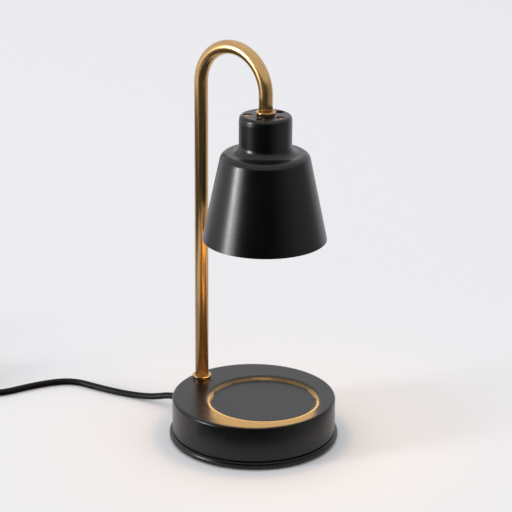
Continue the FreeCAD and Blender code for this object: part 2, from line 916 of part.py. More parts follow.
# ---------------------------------------------------------------- wiring inside the lamp
cable_end_x = clamp_x + clamp_l / 2 + cable_past_clamp
lead_run_z = tube_foot_z - bush_flange_t - lead_bend
terminal_top_z = lead_run_z - lead_d / 2 - terminal_lead_gap
lead_loop_r = (lead_run_z - terminal_z) / 2
lead_loop_x = terminal_far_x + lead_loop_reach


def make_lead(side):
    """One lamp lead: out of the terminal block, back over it, up the tube and down to its contact clip."""
    y = side * lead_offset
    way_y = side * terminal_pitch / 2
    clip_x = shade_x - side * pin_r
    barrel_z = chamber_z + chamber_h - clip_barrel_l
    over_z = (tube_neck_z + holder_top_z) / 2
    corners = [(Vector(terminal_mid_x + insert_l / 2 - wire_in_terminal, way_y, terminal_z), 0)]
    corners.append((Vector(lead_loop_x + lead_loop_r, way_y, terminal_z), lead_loop_r))
    corners.append((Vector(lead_loop_x + lead_loop_r, way_y, lead_run_z), lead_loop_r))
    corners.append((Vector(terminal_far_x - terminal_l, way_y, lead_run_z), lead_bend))
    arm = arm_corners(y, lead_run_z, over_z + lead_bend)
    corners.append((arm[0][0], lead_bend))
    corners += arm[1:3]
    corners.append((Vector(shade_x, y, over_z + lead_bend), lead_bend))
    corners.append((Vector(clip_x, 0, holder_top_z + lead_hole_bend), lead_hole_bend))
    corners.append((Vector(clip_x, 0, barrel_z), 0))
    return pipe(corners, lead_d / 2)


def make_mains_cores():
    cores = []
    wire_end_x = terminal_mid_x - insert_l / 2 + wire_in_terminal
    for side in (-1, 1):
        start_y = side * core_offset
        way_y = side * terminal_pitch / 2
        corners = [
            (Vector(cable_end_x, start_y, cord_exit_z), 0),
            (Vector(cable_end_x + core_bare_l, start_y, cord_exit_z), core_bend),
            (Vector(terminal_near_x - core_bare_l, way_y, terminal_z), core_bend),
            (Vector(wire_end_x, way_y, terminal_z), 0),
        ]
        cores.append(pipe(corners, core_d / 2))
    return Part.makeCompound(cores)


def make_inner_cable():
    return Part.makeCylinder(cord_r, cable_end_x - cord_exit.x, cord_exit, Vector(1, 0, 0))


def make_cord_clamp():
    z = cord_exit_z + clamp_split / 2
    bridge = box(clamp_x - clamp_l / 2, clamp_x + clamp_l / 2, -clamp_w / 2, clamp_w / 2, z, z + clamp_h)
    bridge = bridge.cut(make_inner_cable())
    for side in (-1, 1):
        bridge = bridge.cut(cylinder(small_screw_d + 2 * hole_gap, z, clamp_h, clamp_x, side * clamp_screw_y))
    return bridge


def make_clamp_screws():
    z = cord_exit_z + clamp_split / 2 + clamp_h
    sizes = (small_screw_l, small_screw_d, small_head_d, small_head_h)
    return Part.makeCompound([pan_screw(clamp_x, side * clamp_screw_y, z, *sizes) for side in (-1, 1)])


terminal_ways = [-terminal_pitch / 2, terminal_pitch / 2]
terminal_screw_xs = [terminal_mid_x - terminal_screw_from_mid, terminal_mid_x + terminal_screw_from_mid]


def make_terminal_block():
    half_w = terminal_w / 2
    block = box(terminal_near_x, terminal_far_x, -half_w, half_w, cover_top_z, terminal_top_z)
    for y in terminal_ways:
        start = Vector(terminal_near_x, y, terminal_z)
        block = block.cut(Part.makeCylinder(insert_d / 2, terminal_l, start, Vector(1, 0, 0)))
        for x in terminal_screw_xs:
            block = block.cut(cylinder(terminal_screw_d + 2 * fit_gap, terminal_z, terminal_top_z - terminal_z, x, y))
    return block


def make_terminal_inserts():
    inserts = []
    for y in terminal_ways:
        start = Vector(terminal_mid_x - insert_l / 2, y, terminal_z)
        sleeve = Part.makeCylinder(insert_d / 2, insert_l, start, Vector(1, 0, 0))
        sleeve = sleeve.cut(Part.makeCylinder(insert_bore_d / 2, insert_l, start, Vector(1, 0, 0)))
        for x in terminal_screw_xs:
            sleeve = sleeve.cut(cylinder(terminal_screw_d, terminal_z, insert_d, x, y))
        inserts.append(sleeve)
    return Part.makeCompound(inserts)


def make_terminal_screws():
    screws = []
    z = terminal_z + core_d / 2
    top = terminal_top_z - terminal_screw_sunk
    for y in terminal_ways:
        for x in terminal_screw_xs:
            screw = cylinder(terminal_screw_d, z, top - z, x, y)
            half = terminal_slot_w / 2
            reach = terminal_screw_d
            screw = screw.cut(box(x - reach, x + reach, y - half, y + half, top - terminal_slot_w, top))
            screws.append(screw)
    return Part.makeCompound(screws)


# ---------------------------------------------------------------- cord and what is on it
def tapered_relief(root_d, tip_d, length, base_distance):
    """The outline of a tapered sleeve with flexing grooves, from base_distance outwards."""
    points = [(root_d / 2, base_distance)]
    for index in range(relief_groove_count):
        start = base_distance + relief_groove_pitch * index + relief_first_groove
        if start + relief_groove_w > length:
            break
        for distance, depth in ((0, 0), (0, 1), (relief_groove_w, 1), (relief_groove_w, 0)):
            at = start + distance
            radius = root_d / 2 + (tip_d - root_d) / 2 * (at - base_distance) / (length - base_distance)
            points.append((radius - depth * relief_groove_depth, at))
    points.append((tip_d / 2, length))
    return points


def make_strain_relief():
    inner_face = -cap_wall - relief_wall_gap
    inner_end = inner_face - relief_inner_flange_t
    outline = [
        (cord_r, inner_end - relief_stub_l),
        (relief_stub_d / 2, inner_end - relief_stub_l),
        (relief_stub_d / 2, inner_end),
        (relief_inner_flange_d / 2, inner_end),
        (relief_inner_flange_d / 2, inner_face),
        (relief_neck_d / 2, inner_face),
        (relief_neck_d / 2, fit_gap),
        (relief_flange_d / 2, fit_gap),
        (relief_flange_d / 2, fit_gap + relief_flange_t),
    ]
    outline += tapered_relief(relief_root_d, relief_tip_d, relief_l, fit_gap + relief_flange_t)
    outline.append((cord_r, relief_l))
    return lathe_along_x(outline, cord_exit.x, 0, cord_exit_z, -1)


def make_cord_coil():
    """The outer shape of the wound-up cord: two layers of turns, lifted by the tie's thickness."""
    inner = coil_turn_inner_r - cord_r
    outer = coil_turn_outer_r + cord_r
    low = coil_low_z - cord_r
    high = coil_high_z + cord_r
    corners = [(inner, low), (outer, low), (outer, high), (inner, high)]
    return lathe([(radius, z, coil_edge_round) for radius, z in corners], coil_x, coil_y)


def make_cord_tie():
    inner = coil_turn_inner_r - cord_r
    outer = coil_turn_outer_r + cord_r
    top = coil_high_z + cord_r
    half = tie_w / 2
    band = box(inner - tie_t, outer + tie_t, -half, half, 0, top + tie_t)
    band = band.cut(box(inner, outer, -half, half, tie_t, top))
    lock_x = (inner + outer) / 2
    lock_half = tie_lock_l / 2
    lock = box(lock_x - lock_half, lock_x + lock_half, -half, half, top + tie_t, top + tie_t + tie_lock_h)
    tie = band.fuse(lock).removeSplitter()
    tie.rotate(Vector(0, 0, 0), UP, tie_deg)
    tie.translate(Vector(coil_x, coil_y, 0))
    return tie.cut(make_cord_coil())


def dimmer_block(inset):
    """The dimmer's outer shape, or its cavity, one inset smaller all round."""
    half_l = dimmer_l / 2 - inset
    half_w = dimmer_w / 2 - inset
    corner = dimmer_corner_r - inset
    sides = ((-1, -1), (1, -1), (1, 1), (-1, 1))
    outline = [(dimmer_x + sx * half_l, dimmer_y + sy * half_w, corner) for sx, sy in sides]
    block = prism(outline, inset, dimmer_h - 2 * inset)
    return block.makeFillet(dimmer_edge_round - inset, level_edges(block))


dimmer_screw_x = dimmer_l / 2 - dimmer_screw_end_gap
dimmer_screw_y = dimmer_y + dimmer_w / 2 - dimmer_screw_side_gap
dimmer_screw_places = [(dimmer_x + side * dimmer_screw_x, dimmer_screw_y) for side in (-1, 1)]


def make_dimmer_shell(is_top):
    shell = dimmer_block(0.0).cut(dimmer_block(dimmer_wall))
    for x, y in dimmer_screw_places:
        boss = cylinder(dimmer_screw_boss_d, dimmer_wall / 2, dimmer_h - dimmer_wall, x, y)
        shell = shell.fuse(boss)
    shell = shell.removeSplitter()
    z0, z1 = (dimmer_z, dimmer_h) if is_top else (0, dimmer_z)
    shell = shell.common(box(dimmer_far_x, dimmer_near_x, dimmer_y - dimmer_w, dimmer_y + dimmer_w, z0, z1))
    room_z = dimmer_z - wheel_t / 2 - wheel_gap
    room = cylinder(wheel_d + 2 * wheel_gap, room_z, wheel_t + 2 * wheel_gap, dimmer_x, wheel_y)
    neck_r = dimmer_relief_neck_d / 2
    bore = Part.makeCylinder(neck_r, dimmer_l, Vector(dimmer_far_x, dimmer_y, dimmer_z), Vector(1, 0, 0))
    shell = shell.cut(room).cut(bore)
    for x, y in dimmer_screw_places:
        shell = shell.cut(cylinder(dimmer_screw_d, 0, dimmer_screw_l, x, y))
        shell = shell.cut(cylinder(dimmer_screw_head_d + 2 * fit_gap, 0, dimmer_screw_head_h, x, y))
    return shell


board_z = dimmer_wall + board_stand
pot_x = dimmer_x
pot_top_z = dimmer_z - wheel_t / 2 - pot_wheel_gap


def make_dimmer_board():
    half_l = dimmer_l / 2 - board_end_gap
    half_w = dimmer_w / 2 - board_side_gap
    top_z = board_z + board_t
    board = box(dimmer_x - half_l, dimmer_x + half_l, dimmer_y - half_w, dimmer_y + half_w, board_z, top_z)
    for x, y in dimmer_screw_places:
        board = board.cut(cylinder(dimmer_screw_boss_d + 2 * board_hole_gap, board_z, board_t, x, y))
    stands = []
    for side in (-1, 1):
        x = dimmer_x + side * board_stand_x
        y0 = dimmer_y - board_stand_w / 2
        y1 = dimmer_y + board_stand_w / 2
        stands.append(box(x - board_stand_l / 2, x + board_stand_l / 2, y0, y1, dimmer_wall, board_z))
    return board.fuse(stands).removeSplitter()


def make_dimmer_potentiometer():
    pot = cylinder(pot_d, board_z + board_t, pot_top_z - board_z - board_t, pot_x, wheel_y)
    return pot.cut(cylinder(spindle_d + 2 * spindle_gap, board_z + board_t, pot_d, pot_x, wheel_y))


def make_dimmer_board_parts():
    z = board_z + board_t
    reach = wheel_d / 2 + part_from_wheel
    x = dimmer_x + reach
    y = dimmer_y + board_part_y
    choke = cylinder(choke_d, z, choke_l, dimmer_x - reach, y)
    triac = box(x - triac_l / 2, x + triac_l / 2, y - triac_w / 2, y + triac_w / 2, z, z + triac_h)
    return Part.makeCompound([choke, triac])


def make_dimmer_wheel():
    z = dimmer_z - wheel_t / 2
    edge = wheel_edge_round
    half = wheel_d / 2
    wheel = lathe(
        [(spindle_d / 2, z), (half, z, edge), (half, z + wheel_t, edge), (spindle_d / 2, z + wheel_t)],
        dimmer_x,
        wheel_y,
    )
    grooves = []
    for x, y in round_pattern(wheel_knurls, wheel_d + wheel_knurl_d - 2 * wheel_knurl_depth, 0.0):
        grooves.append(cylinder(wheel_knurl_d, z, wheel_t, dimmer_x + x, wheel_y + y))
    return wheel.cut(Part.makeCompound(grooves))


def make_dimmer_spindle():
    z = board_z + board_t + pot_wheel_gap
    return cylinder(spindle_d, z, spindle_l, dimmer_x, wheel_y)


def make_dimmer_strain_reliefs():
    reliefs = []
    inner_face = -dimmer_wall - relief_wall_gap
    inner_end = inner_face - dimmer_relief_inner_l
    outline = [
        (cord_r, inner_end),
        (dimmer_relief_inner_d / 2, inner_end),
        (dimmer_relief_inner_d / 2, inner_face),
        (dimmer_relief_neck_d / 2, inner_face),
        (dimmer_relief_neck_d / 2, fit_gap),
    ]
    outline += tapered_relief(dimmer_relief_root_d, dimmer_relief_tip_d, dimmer_relief_l, fit_gap)
    outline.append((cord_r, dimmer_relief_l))
    for x, way in ((dimmer_near_x, 1), (dimmer_far_x, -1)):
        reliefs.append(lathe_along_x(outline, x, dimmer_y, dimmer_z, way))
    return Part.makeCompound(reliefs)


def make_dimmer_screws():
    screws = []
    for x, y in dimmer_screw_places:
        z = dimmer_screw_sunk
        head = cylinder(dimmer_screw_head_d, z, dimmer_screw_head_h - z, x, y)
        half = slot_w / 2
        reach = dimmer_screw_head_d
        head = head.cut(box(x - half, x + half, y - reach, y + reach, z, z + half))
        shank_z = dimmer_screw_head_h
        shank = cylinder(dimmer_screw_d, shank_z, dimmer_screw_l - shank_z, x, y)
        screws.append(head.fuse(shank).removeSplitter())
    return Part.makeCompound(screws)


# ---------------------------------------------------------------- plug
blade_places = [plug_y - blade_spacing / 2, plug_y + blade_spacing / 2]


def make_plug_body():
    half_w = plug_w / 2
    rear_half = plug_rear_w / 2
    outline = [
        (plug_rear_x, plug_y - rear_half, plug_corner_r),
        (plug_rear_x + plug_rear_l, plug_y - half_w, 2 * plug_corner_r),
        (plug_front_x, plug_y - half_w, plug_corner_r),
        (plug_front_x, plug_y + half_w, plug_corner_r),
        (plug_rear_x + plug_rear_l, plug_y + half_w, 2 * plug_corner_r),
        (plug_rear_x, plug_y + rear_half, plug_corner_r),
    ]
    body = prism(outline, 0, plug_t)
    body = body.makeFillet(plug_edge_round, level_edges(body))
    relief_line = [(0, -plug_corner_r)]
    relief_line.append((plug_relief_root_d / 2, -plug_corner_r))
    relief_line += tapered_relief(plug_relief_root_d, plug_relief_tip_d, plug_relief_l, 0.0)
    relief_line.append((0, plug_relief_l))
    relief = lathe_along_x(relief_line, plug_rear_x, plug_y, plug_z, -1)
    body = body.fuse(relief).removeSplitter()
    cord_hole_x = plug_rear_x - plug_relief_l
    hole_start = Vector(cord_hole_x, plug_y, plug_z)
    cord_hole = Part.makeCylinder(cord_r, plug_cord_depth, hole_start, Vector(1, 0, 0))
    body = body.cut(cord_hole)
    for index in range(plug_grip_count):
        x = plug_rear_x + plug_rear_l + plug_grip_pitch * index
        for z in (0, plug_t - plug_grip_depth):
            groove = box(x, x + plug_grip_w, plug_y - half_w / 2, plug_y + half_w / 2, z, z + plug_grip_depth)
            body = body.cut(groove)
    for blade in make_plug_blades().Solids:
        body = body.cut(blade)
    return body


def make_plug_blades():
    blades = []
    x0 = plug_front_x - blade_embed
    x1 = plug_front_x + blade_l
    half_w = blade_w / 2
    for y in blade_places:
        outline = [
            (x0, plug_z - half_w),
            (x1 - blade_tip_chamfer, plug_z - half_w),
            (x1, plug_z - half_w + blade_tip_chamfer),
            (x1, plug_z + half_w - blade_tip_chamfer),
            (x1 - blade_tip_chamfer, plug_z + half_w),
            (x0, plug_z + half_w),
        ]
        corners = [(Vector(x, y - blade_t / 2, z), 0) for x, z in outline]
        blade = Part.Face(rounded_path(corners, True)).extrude(Vector(0, blade_t, 0))
        hole_at = Vector(x1 - blade_hole_from_tip, y - blade_t / 2, plug_z)
        blades.append(blade.cut(Part.makeCylinder(blade_hole_d / 2, blade_t, hole_at, Vector(0, 1, 0))))
    return Part.makeCompound(blades)


# ---------------------------------------------------------------- the lamp, node by node
nodes = {
    "base_cap": make_base_cap(),
    "base_cover": make_base_cover(),
    "feet": make_feet(),
    "ballast": make_ballast(),
    "cap_posts": make_cap_posts(),
    "cover_screws": make_cover_screws(),
    "tube": make_tube(),
    "foot_collar": make_collar(tube_foot_x, base_h),
    "neck_collar": make_collar(shade_x, neck_top_z),
    "foot_washer": ring(washer_d, tube_d + 2 * hole_gap, cap_under_z - washer_t, washer_t, tube_foot_x),
    "foot_spring_washer": make_spring_washer(),
    "foot_nut": make_hex_nut(tube_foot_x, cap_under_z - washer_t - spring_washer_t),
    "tube_bush": make_tube_bush(),
    "shade": make_shade(),
    "neck_washer": ring(washer_d, tube_d + 2 * hole_gap, bracket_top_z, washer_t, shade_x),
    "holder_bracket": make_holder_bracket(),
    "neck_nut": make_hex_nut(shade_x, bracket_top_z - bracket_t),
    "bracket_screws": make_bracket_screws(),
    "lampholder": make_lampholder(),
    "contact_clips": make_contact_clips(),
    "bulb_reflector": make_bulb_reflector(),
    "bulb_front_lens": make_bulb_front_lens(),
    "bulb_capsule": make_bulb_capsule(),
    "bulb_base": make_bulb_base(),
    "bulb_pins": make_bulb_pins(),
    "lead_live": make_lead(1),
    "lead_neutral": make_lead(-1),
    "mains_cores": make_mains_cores(),
    "inner_cable": make_inner_cable(),
    "cord_clamp": make_cord_clamp(),
    "clamp_screws": make_clamp_screws(),
    "terminal_block": make_terminal_block(),
    "terminal_inserts": make_terminal_inserts(),
    "terminal_screws": make_terminal_screws(),
    "strain_relief": make_strain_relief(),
    "cord_lamp_side": cord_tube(lamp_route),
    "dimmer_bottom_shell": make_dimmer_shell(False),
    "dimmer_top_shell": make_dimmer_shell(True),
    "dimmer_board": make_dimmer_board(),
    "dimmer_board_parts": make_dimmer_board_parts(),
    "dimmer_potentiometer": make_dimmer_potentiometer(),
    "dimmer_strain_reliefs": make_dimmer_strain_reliefs(),
    "dimmer_screws": make_dimmer_screws(),
    "dimmer_wheel": make_dimmer_wheel(),
    "dimmer_spindle": make_dimmer_spindle(),
    "cord_lead_in": cord_tube(lead_in_route),
    "cord_coil": make_cord_coil(),
    "cord_tie": make_cord_tie(),
    "cord_tail": cord_tube(tail_route),
    "plug_body": make_plug_body(),
    "plug_blades": make_plug_blades(),
}

os.makedirs("parts", exist_ok=True)
for name, shape in nodes.items():
    shape.exportStep(f"parts/{name}.step")
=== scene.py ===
"""Candle warmer lamp: its shapes, finishes, cords and studio, laid out as an add-on."""

import json
import math

import bmesh
import bpy
from bmesh.types import BMEdge, BMVert
from bpy.props import FloatProperty, FloatVectorProperty, IntProperty, PointerProperty
from mathutils import Matrix, Vector

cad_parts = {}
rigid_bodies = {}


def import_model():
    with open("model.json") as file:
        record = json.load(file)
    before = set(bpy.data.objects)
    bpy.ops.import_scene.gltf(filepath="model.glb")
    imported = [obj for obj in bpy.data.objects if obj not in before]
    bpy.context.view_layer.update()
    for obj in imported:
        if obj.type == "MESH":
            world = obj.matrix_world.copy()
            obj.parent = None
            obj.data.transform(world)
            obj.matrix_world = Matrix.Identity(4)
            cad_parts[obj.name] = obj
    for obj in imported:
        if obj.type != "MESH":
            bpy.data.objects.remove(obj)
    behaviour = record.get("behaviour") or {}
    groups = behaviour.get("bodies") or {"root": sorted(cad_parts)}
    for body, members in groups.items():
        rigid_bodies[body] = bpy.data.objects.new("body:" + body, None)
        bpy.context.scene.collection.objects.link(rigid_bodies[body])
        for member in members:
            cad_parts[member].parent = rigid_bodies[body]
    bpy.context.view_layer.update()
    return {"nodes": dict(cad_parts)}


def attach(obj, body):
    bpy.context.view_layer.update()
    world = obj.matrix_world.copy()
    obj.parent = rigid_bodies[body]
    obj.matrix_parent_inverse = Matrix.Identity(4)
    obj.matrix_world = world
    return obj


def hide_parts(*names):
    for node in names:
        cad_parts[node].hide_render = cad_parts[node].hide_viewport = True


bl_info = {
    "name": "Candle Warmer Lamp",
    "version": (1, 0, 0),
    "blender": (4, 5, 0),
    "location": "View3D > Sidebar > Lamp",
    "description": "Shapes, finishes, cords and studio of a candle warmer lamp with a dimmer on its cord",
    "category": "Object",
}

for leftover in list(bpy.data.objects):
    bpy.data.objects.remove(leftover)
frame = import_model()
SLOT_OF_NODE = {
    name: node.material_slots[0].material.name.split(".")[0] for name, node in frame["nodes"].items()
}
MM = 0.001
FULL_TURN = 2 * math.pi
WELD_DISTANCE = 1e-7
LEVEL_REACH = 1e-6


# ---------------------------------------------------------------- sizes and colours
def number(name, description, value, **kind):
    return FloatProperty(name=name, description=description, default=value, **kind)


def length(name, description, value):
    return number(name, description, value, min=0.0, unit="LENGTH", precision=4)


def degrees(name, description, value):
    return number(name, description, math.radians(value), subtype="ANGLE")


def power(name, description, value):
    return number(name, description, value, min=0.0, unit="POWER")


def strength(name, description, value):
    return number(name, description, value, min=0.0, soft_max=10.0, subtype="FACTOR")


def count(name, description, value, least, most):
    return IntProperty(name=name, description=description, default=value, min=least, max=most)


def colour(name, description, value):
    return FloatVectorProperty(
        name=name, description=description, default=value, size=3, subtype="COLOR", min=0.0, max=1.0
    )


class FinishSettings(bpy.types.PropertyGroup):
    base_paint: colour("Base paint", "Colour of the base's satin paint", (0.0024, 0.0023, 0.0022))
    shade_paint: colour("Shade paint", "Colour of the shade's satin paint", (0.0016, 0.0016, 0.0017))
    tube_brass: colour("Tube brass", "Colour of the brushed brass tube", (0.62, 0.385, 0.165))
    collar_brass: colour("Collar brass", "Colour of the turned brass collars", (0.74, 0.52, 0.26))
    cord_sheath: colour("Cord", "Colour of the cord's sheath", (0.0035, 0.0035, 0.0037))
    dimmer_plastic: colour("Dimmer", "Colour of the dimmer's case", (0.0095, 0.0095, 0.010))
    plug_rubber: colour("Plug", "Colour of the moulded plug", (0.0105, 0.0105, 0.011))


class BaseSettings(bpy.types.PropertyGroup):
    cap_radius: length("Cap radius", "Radius of the steel cap", 0.0602)
    height: length("Height", "Table to the top of the base", 0.0325)
    cap_rounding: length("Cap rounding", "Rounding of the cap's upper edge", 0.002)
    sheet: length("Sheet", "Thickness of the cap's steel", 0.0012)
    dish_radius: length("Dish radius", "Radius of the candle dish at its lip", 0.0445)
    dish_depth: length("Dish depth", "Depth of the candle dish", 0.0028)
    bead_radius: length("Bead radius", "Radius of the rounded bead round the foot", 0.0625)
    bead_top: length("Bead top", "Height of the bead's upper side", 0.0061)
    bead_foot: length("Bead foot", "Height of the bead's lower side", 0.0004)
    groove_top: length("Groove top", "Height of the cap's foot, over the groove above the bead", 0.007)
    foot_radius: length("Foot radius", "Radius of each foam foot", 0.006)
    feet_circle: length("Feet circle", "Radius of the circle that the feet stand on", 0.052)


class ArmSettings(bpy.types.PropertyGroup):
    tube_radius: length("Tube radius", "Outside radius of the brass tube", 0.005)
    tube_wall: length("Tube wall", "Wall of the brass tube", 0.001)
    tube_offset: length("Tube offset", "Middle of the base to the tube, towards the back", 0.051)
    arch_radius: length("Arch radius", "Radius of the tube's bend at its middle line", 0.03)
    arch_height: length("Arch height", "Table to the centre of the bend", 0.262)
    collar_radius: length("Collar radius", "Outside radius of the turned collars", 0.00715)


class ShadeSettings(bpy.types.PropertyGroup):
    rim_radius: length("Rim radius", "Radius of the shade's lower rim", 0.0447)
    rim_height: length("Rim height", "Table to the shade's lower rim", 0.157)
    shoulder_radius: length("Shoulder radius", "Radius of the cone at the shoulder", 0.0313)
    shoulder_height: length("Shoulder height", "Table to the shoulder", 0.221)
    neck_radius: length("Neck radius", "Radius of the neck", 0.01885)
    neck_top: length("Neck top", "Table to the top of the neck", 0.2485)
    neck_rounding: length("Neck rounding", "Rounding of the neck's upper edge", 0.0026)
    sheet: length("Sheet", "Thickness of the shade's metal", 0.001)
    vents: count("Vents", "Holes in the top of the neck", 5, 3, 8)
    vent_radius: length("Vent radius", "Radius of each vent hole", 0.0032)
    vent_circle: length("Vent circle", "Radius of the circle that the vents lie on", 0.0125)


class BulbSettings(bpy.types.PropertyGroup):
    radius: length("Bulb radius", "Radius of the reflector's rim", 0.025)
    front_height: length("Front height", "Table to the bulb's lower rim", 0.16)
    facets: count("Facets", "Facets round the inside of the reflector", 44, 24, 64)
    burner_radius: length("Burner radius", "Radius of the burner's quartz capsule", 0.0045)


class DimmerSettings(bpy.types.PropertyGroup):
    case_length: length("Case length", "Length of the dimmer along the cord", 0.056)
    case_width: length("Case width", "Width of the dimmer", 0.026)
    case_height: length("Case height", "Height of the dimmer", 0.0166)
    corner_radius: length("Corner radius", "Radius of the case's corners, seen from above", 0.010)
    edge_rounding: length("Edge rounding", "Rounding of the case's upper and lower edges", 0.0025)
    seam: length("Seam", "Width of the bevel on each side of the seam", 0.0003)
    wedge_length: length("Wedge length", "Length of the sunk brightness wedge on top", 0.026)
    wedge_width: length("Wedge width", "Width of the brightness wedge at its bright end", 0.005)
    wheel_radius: length("Wheel radius", "Radius of the thumbwheel", 0.011)
    wheel_thickness: length("Wheel thickness", "Thickness of the thumbwheel", 0.005)
    knurls: count("Knurls", "Grooves round the thumbwheel", 28, 12, 40)


class PlugSettings(bpy.types.PropertyGroup):
    body_width: length("Plug width", "Width of the plug at its blades", 0.025)
    body_thickness: length("Plug thickness", "Thickness of the plug", 0.015)
    edge_rounding: length("Plug rounding", "Rounding of the plug's long edges", 0.0022)
    grips: count("Grips", "Grip grooves across each side of the plug", 4, 0, 4)
    tie_width: length("Tie width", "Width of the band round the coil", 0.005)


class CordSettings(bpy.types.PropertyGroup):
    diameter: length("Cord diameter", "Outside diameter of the mains cord", 0.005)
    coil_outer_r: length("Coil outer turn", "Radius of the coil's outer turns at the cord's middle", 0.037)
    coil_inner_r: length("Coil inner turn", "Radius of the coil's inner turns at the cord's middle", 0.0203)
    coil_high_z: length("Coil upper layer", "Height of the upper turns at the cord's middle", 0.0083)
    coil_low_z: length("Coil lower layer", "Height of the lower turns at the cord's middle", 0.0033)
    points_per_turn: count("Points per turn", "Control points in each turn of the coil", 16, 12, 32)


class StudioSettings(bpy.types.PropertyGroup):
    floor_colour: colour("Floor", "Colour of the table top under the lamp", (0.82, 0.815, 0.83))
    backdrop_colour: colour("Backdrop", "Colour behind the lamp", (0.855, 0.865, 0.89))
    floor_size: length("Floor size", "Side of the square floor", 6.0)
    key_power: power("Side light", "Power of the tall light at the left", 1290.0)
    key_distance: length("Side light distance", "Middle of the lamp to the tall light at the left", 12.0)
    side_angle: degrees("Side light angle", "Turn from the camera round to the tall light", 70.5)
    top_power: power("Top light", "Power of the wide light overhead", 3.0)
    sky_strength: strength("Room light", "Even light from all round", 0.90)
    screen_distance: length("Screen distance", "Radius of the dark curved screen round the front", 0.22)
    screen_left: degrees("Screen left end", "How far the dark screen reaches to the left", 62.0)
    screen_right: degrees("Screen right end", "How far the dark screen reaches to the right", 112.0)
    screen_height: length("Screen height", "Height of the dark screen", 0.32)
    screen_glow: strength("Screen glow", "Brightness of the screen's right end", 0.42)
    card_left: degrees("Card left end", "How far the dark card on the table top reaches to the left", 128.0)
    card_start: length("Card start", "Radius at which the dark card on the table top starts", 0.098)
    left_card_start: length("Left card start", "Radius at which the card's left part starts", 0.15)
    left_card_end: length("Left card end", "Radius at which the card's left part ends", 0.95)
    wax_glow: strength("Wax glow", "Brightness of the warm glow of melting wax over the dish", 6.0)
    bulb_power: power("Bulb light", "Power of the warm light under the bulb", 0.05)
    neck_power: power("Neck light", "Power of the red light behind the bulb", 0.005)
    camera_azimuth: degrees("Camera azimuth", "Turn of the camera about the lamp", 39.589)
    camera_elevation: degrees("Camera elevation", "Camera above the horizon", 19.69)
    camera_roll: degrees("Camera roll", "Tilt of the camera about its line of sight", 0.406)
    camera_distance: length("Camera distance", "Camera to the middle of the lamp", 1.4270)
    camera_target_z: length("Camera height aim", "Height that the camera looks at", 0.1414)
    camera_target_side: length("Camera side aim", "Offset of the aim to the right", 0.00086)
    camera_lens: number("Lens", "Focal length on a 36 mm sensor", 139.2, min=1.0, subtype="DISTANCE_CAMERA")


class Millimetres:
    """A group of settings whose lengths are read in millimetres; its counts stay counts."""

    def __init__(self, group):
        self.group = group

    def __getattr__(self, name):
        value = getattr(self.group, name)
        return value if isinstance(value, int) else value / MM


def sizes_of(part):
    """The settings of one part of the lamp, in millimetres."""
    return Millimetres(getattr(bpy.context.scene, "lamp_" + part))


def mm(*values):
    """A point given in millimetres."""
    return Vector(values) * MM


def shade_centre():
    """The middle of the shade and the dish in millimetres: the tube's two legs stand two bend radii apart."""
    arm = bpy.context.scene.lamp_arm
    return (2 * arm.arch_radius - arm.tube_offset) / MM


def cord_bore():
    """The radius of a hole that the mains cord fills, in millimetres."""
    return bpy.context.scene.lamp_cord.diameter / 2 / MM + 0.03


# ---------------------------------------------------------------- working with meshes
def rounded(bm, geom, offset, segments, affect):
    """Rounds vertices or edges with arcs."""
    bmesh.ops.bevel(
        bm,
        geom=geom,
        offset=offset,
        offset_type="OFFSET",
        segments=segments,
        profile=0.5,
        affect=affect,
        material=-1,
    )


def outline_mesh(corners, closed, place):
    """Vertices and edges through corners, each (across, up) or (across, up, rounding, segments), in mm."""
    bm = bmesh.new()
    verts = [bm.verts.new(place(corner[0] * MM, corner[1] * MM)) for corner in corners]
    for pair in zip(verts, verts[1:] + verts[:1] if closed else verts[1:]):
        bm.edges.new(pair)
    for vert, corner in zip(verts, corners):
        if len(corner) > 2:
            before, after = [edge.other_vert(vert).co - vert.co for edge in vert.link_edges]
            half_turn = (math.pi - before.angle(after)) / 2
            rounded(bm, [vert], corner[2] * MM * math.tan(half_turn), corner[3], "VERTICES")
    return bm


def welded(bm):
    """Merges doubles, then turns the faces outward."""
    bmesh.ops.remove_doubles(bm, verts=bm.verts, dist=WELD_DISTANCE)
    bmesh.ops.recalc_face_normals(bm, faces=bm.faces)
    return bm


def spun(bm, centre, axis, steps):
    """A full turn of an outline."""
    geom = bm.verts[:] + bm.edges[:]
    bmesh.ops.spin(bm, geom=geom, cent=centre, axis=axis, angle=FULL_TURN, steps=steps, use_merge=True)
    return welded(bm)


def turned(corners, steps, x=0.0, y=0.0, closed=False):
    """A skin turned about the upright axis at x and y; the corners' first number is a radius."""
    x, y = x * MM, y * MM
    bm = outline_mesh(corners, closed, lambda radius, z: (x + radius, y, z))
    return spun(bm, (x, y, 0), (0, 0, 1), steps)


def turned_along_x(corners, start, way=1, steps=64):
    """A closed solid turned about an axis along X; corners are (radius, distance from start towards way)."""
    x, y, z = mm(*start)
    bm = outline_mesh(corners, True, lambda radius, along: (x + way * along, y, z + radius))
    return spun(bm, (x, y, z), (1, 0, 0), steps)


def rod(radius, reach, start, steps=64):
    """A round bar from start along X."""
    return turned_along_x([(0, 0), (radius, 0), (radius, reach), (0, reach)], start, 1, steps)


def only(kind, parts):
    return [part for part in parts if isinstance(part, kind)]


def edges_at_height(bm, z):
    """The edges whose two ends lie at one height."""
    return [edge for edge in bm.edges if all(abs(vert.co.z - z * MM) < LEVEL_REACH for vert in edge.verts)]


def open_edges_at_height(bm, z):
    return [edge for edge in edges_at_height(bm, z) if len(edge.link_faces) == 1]


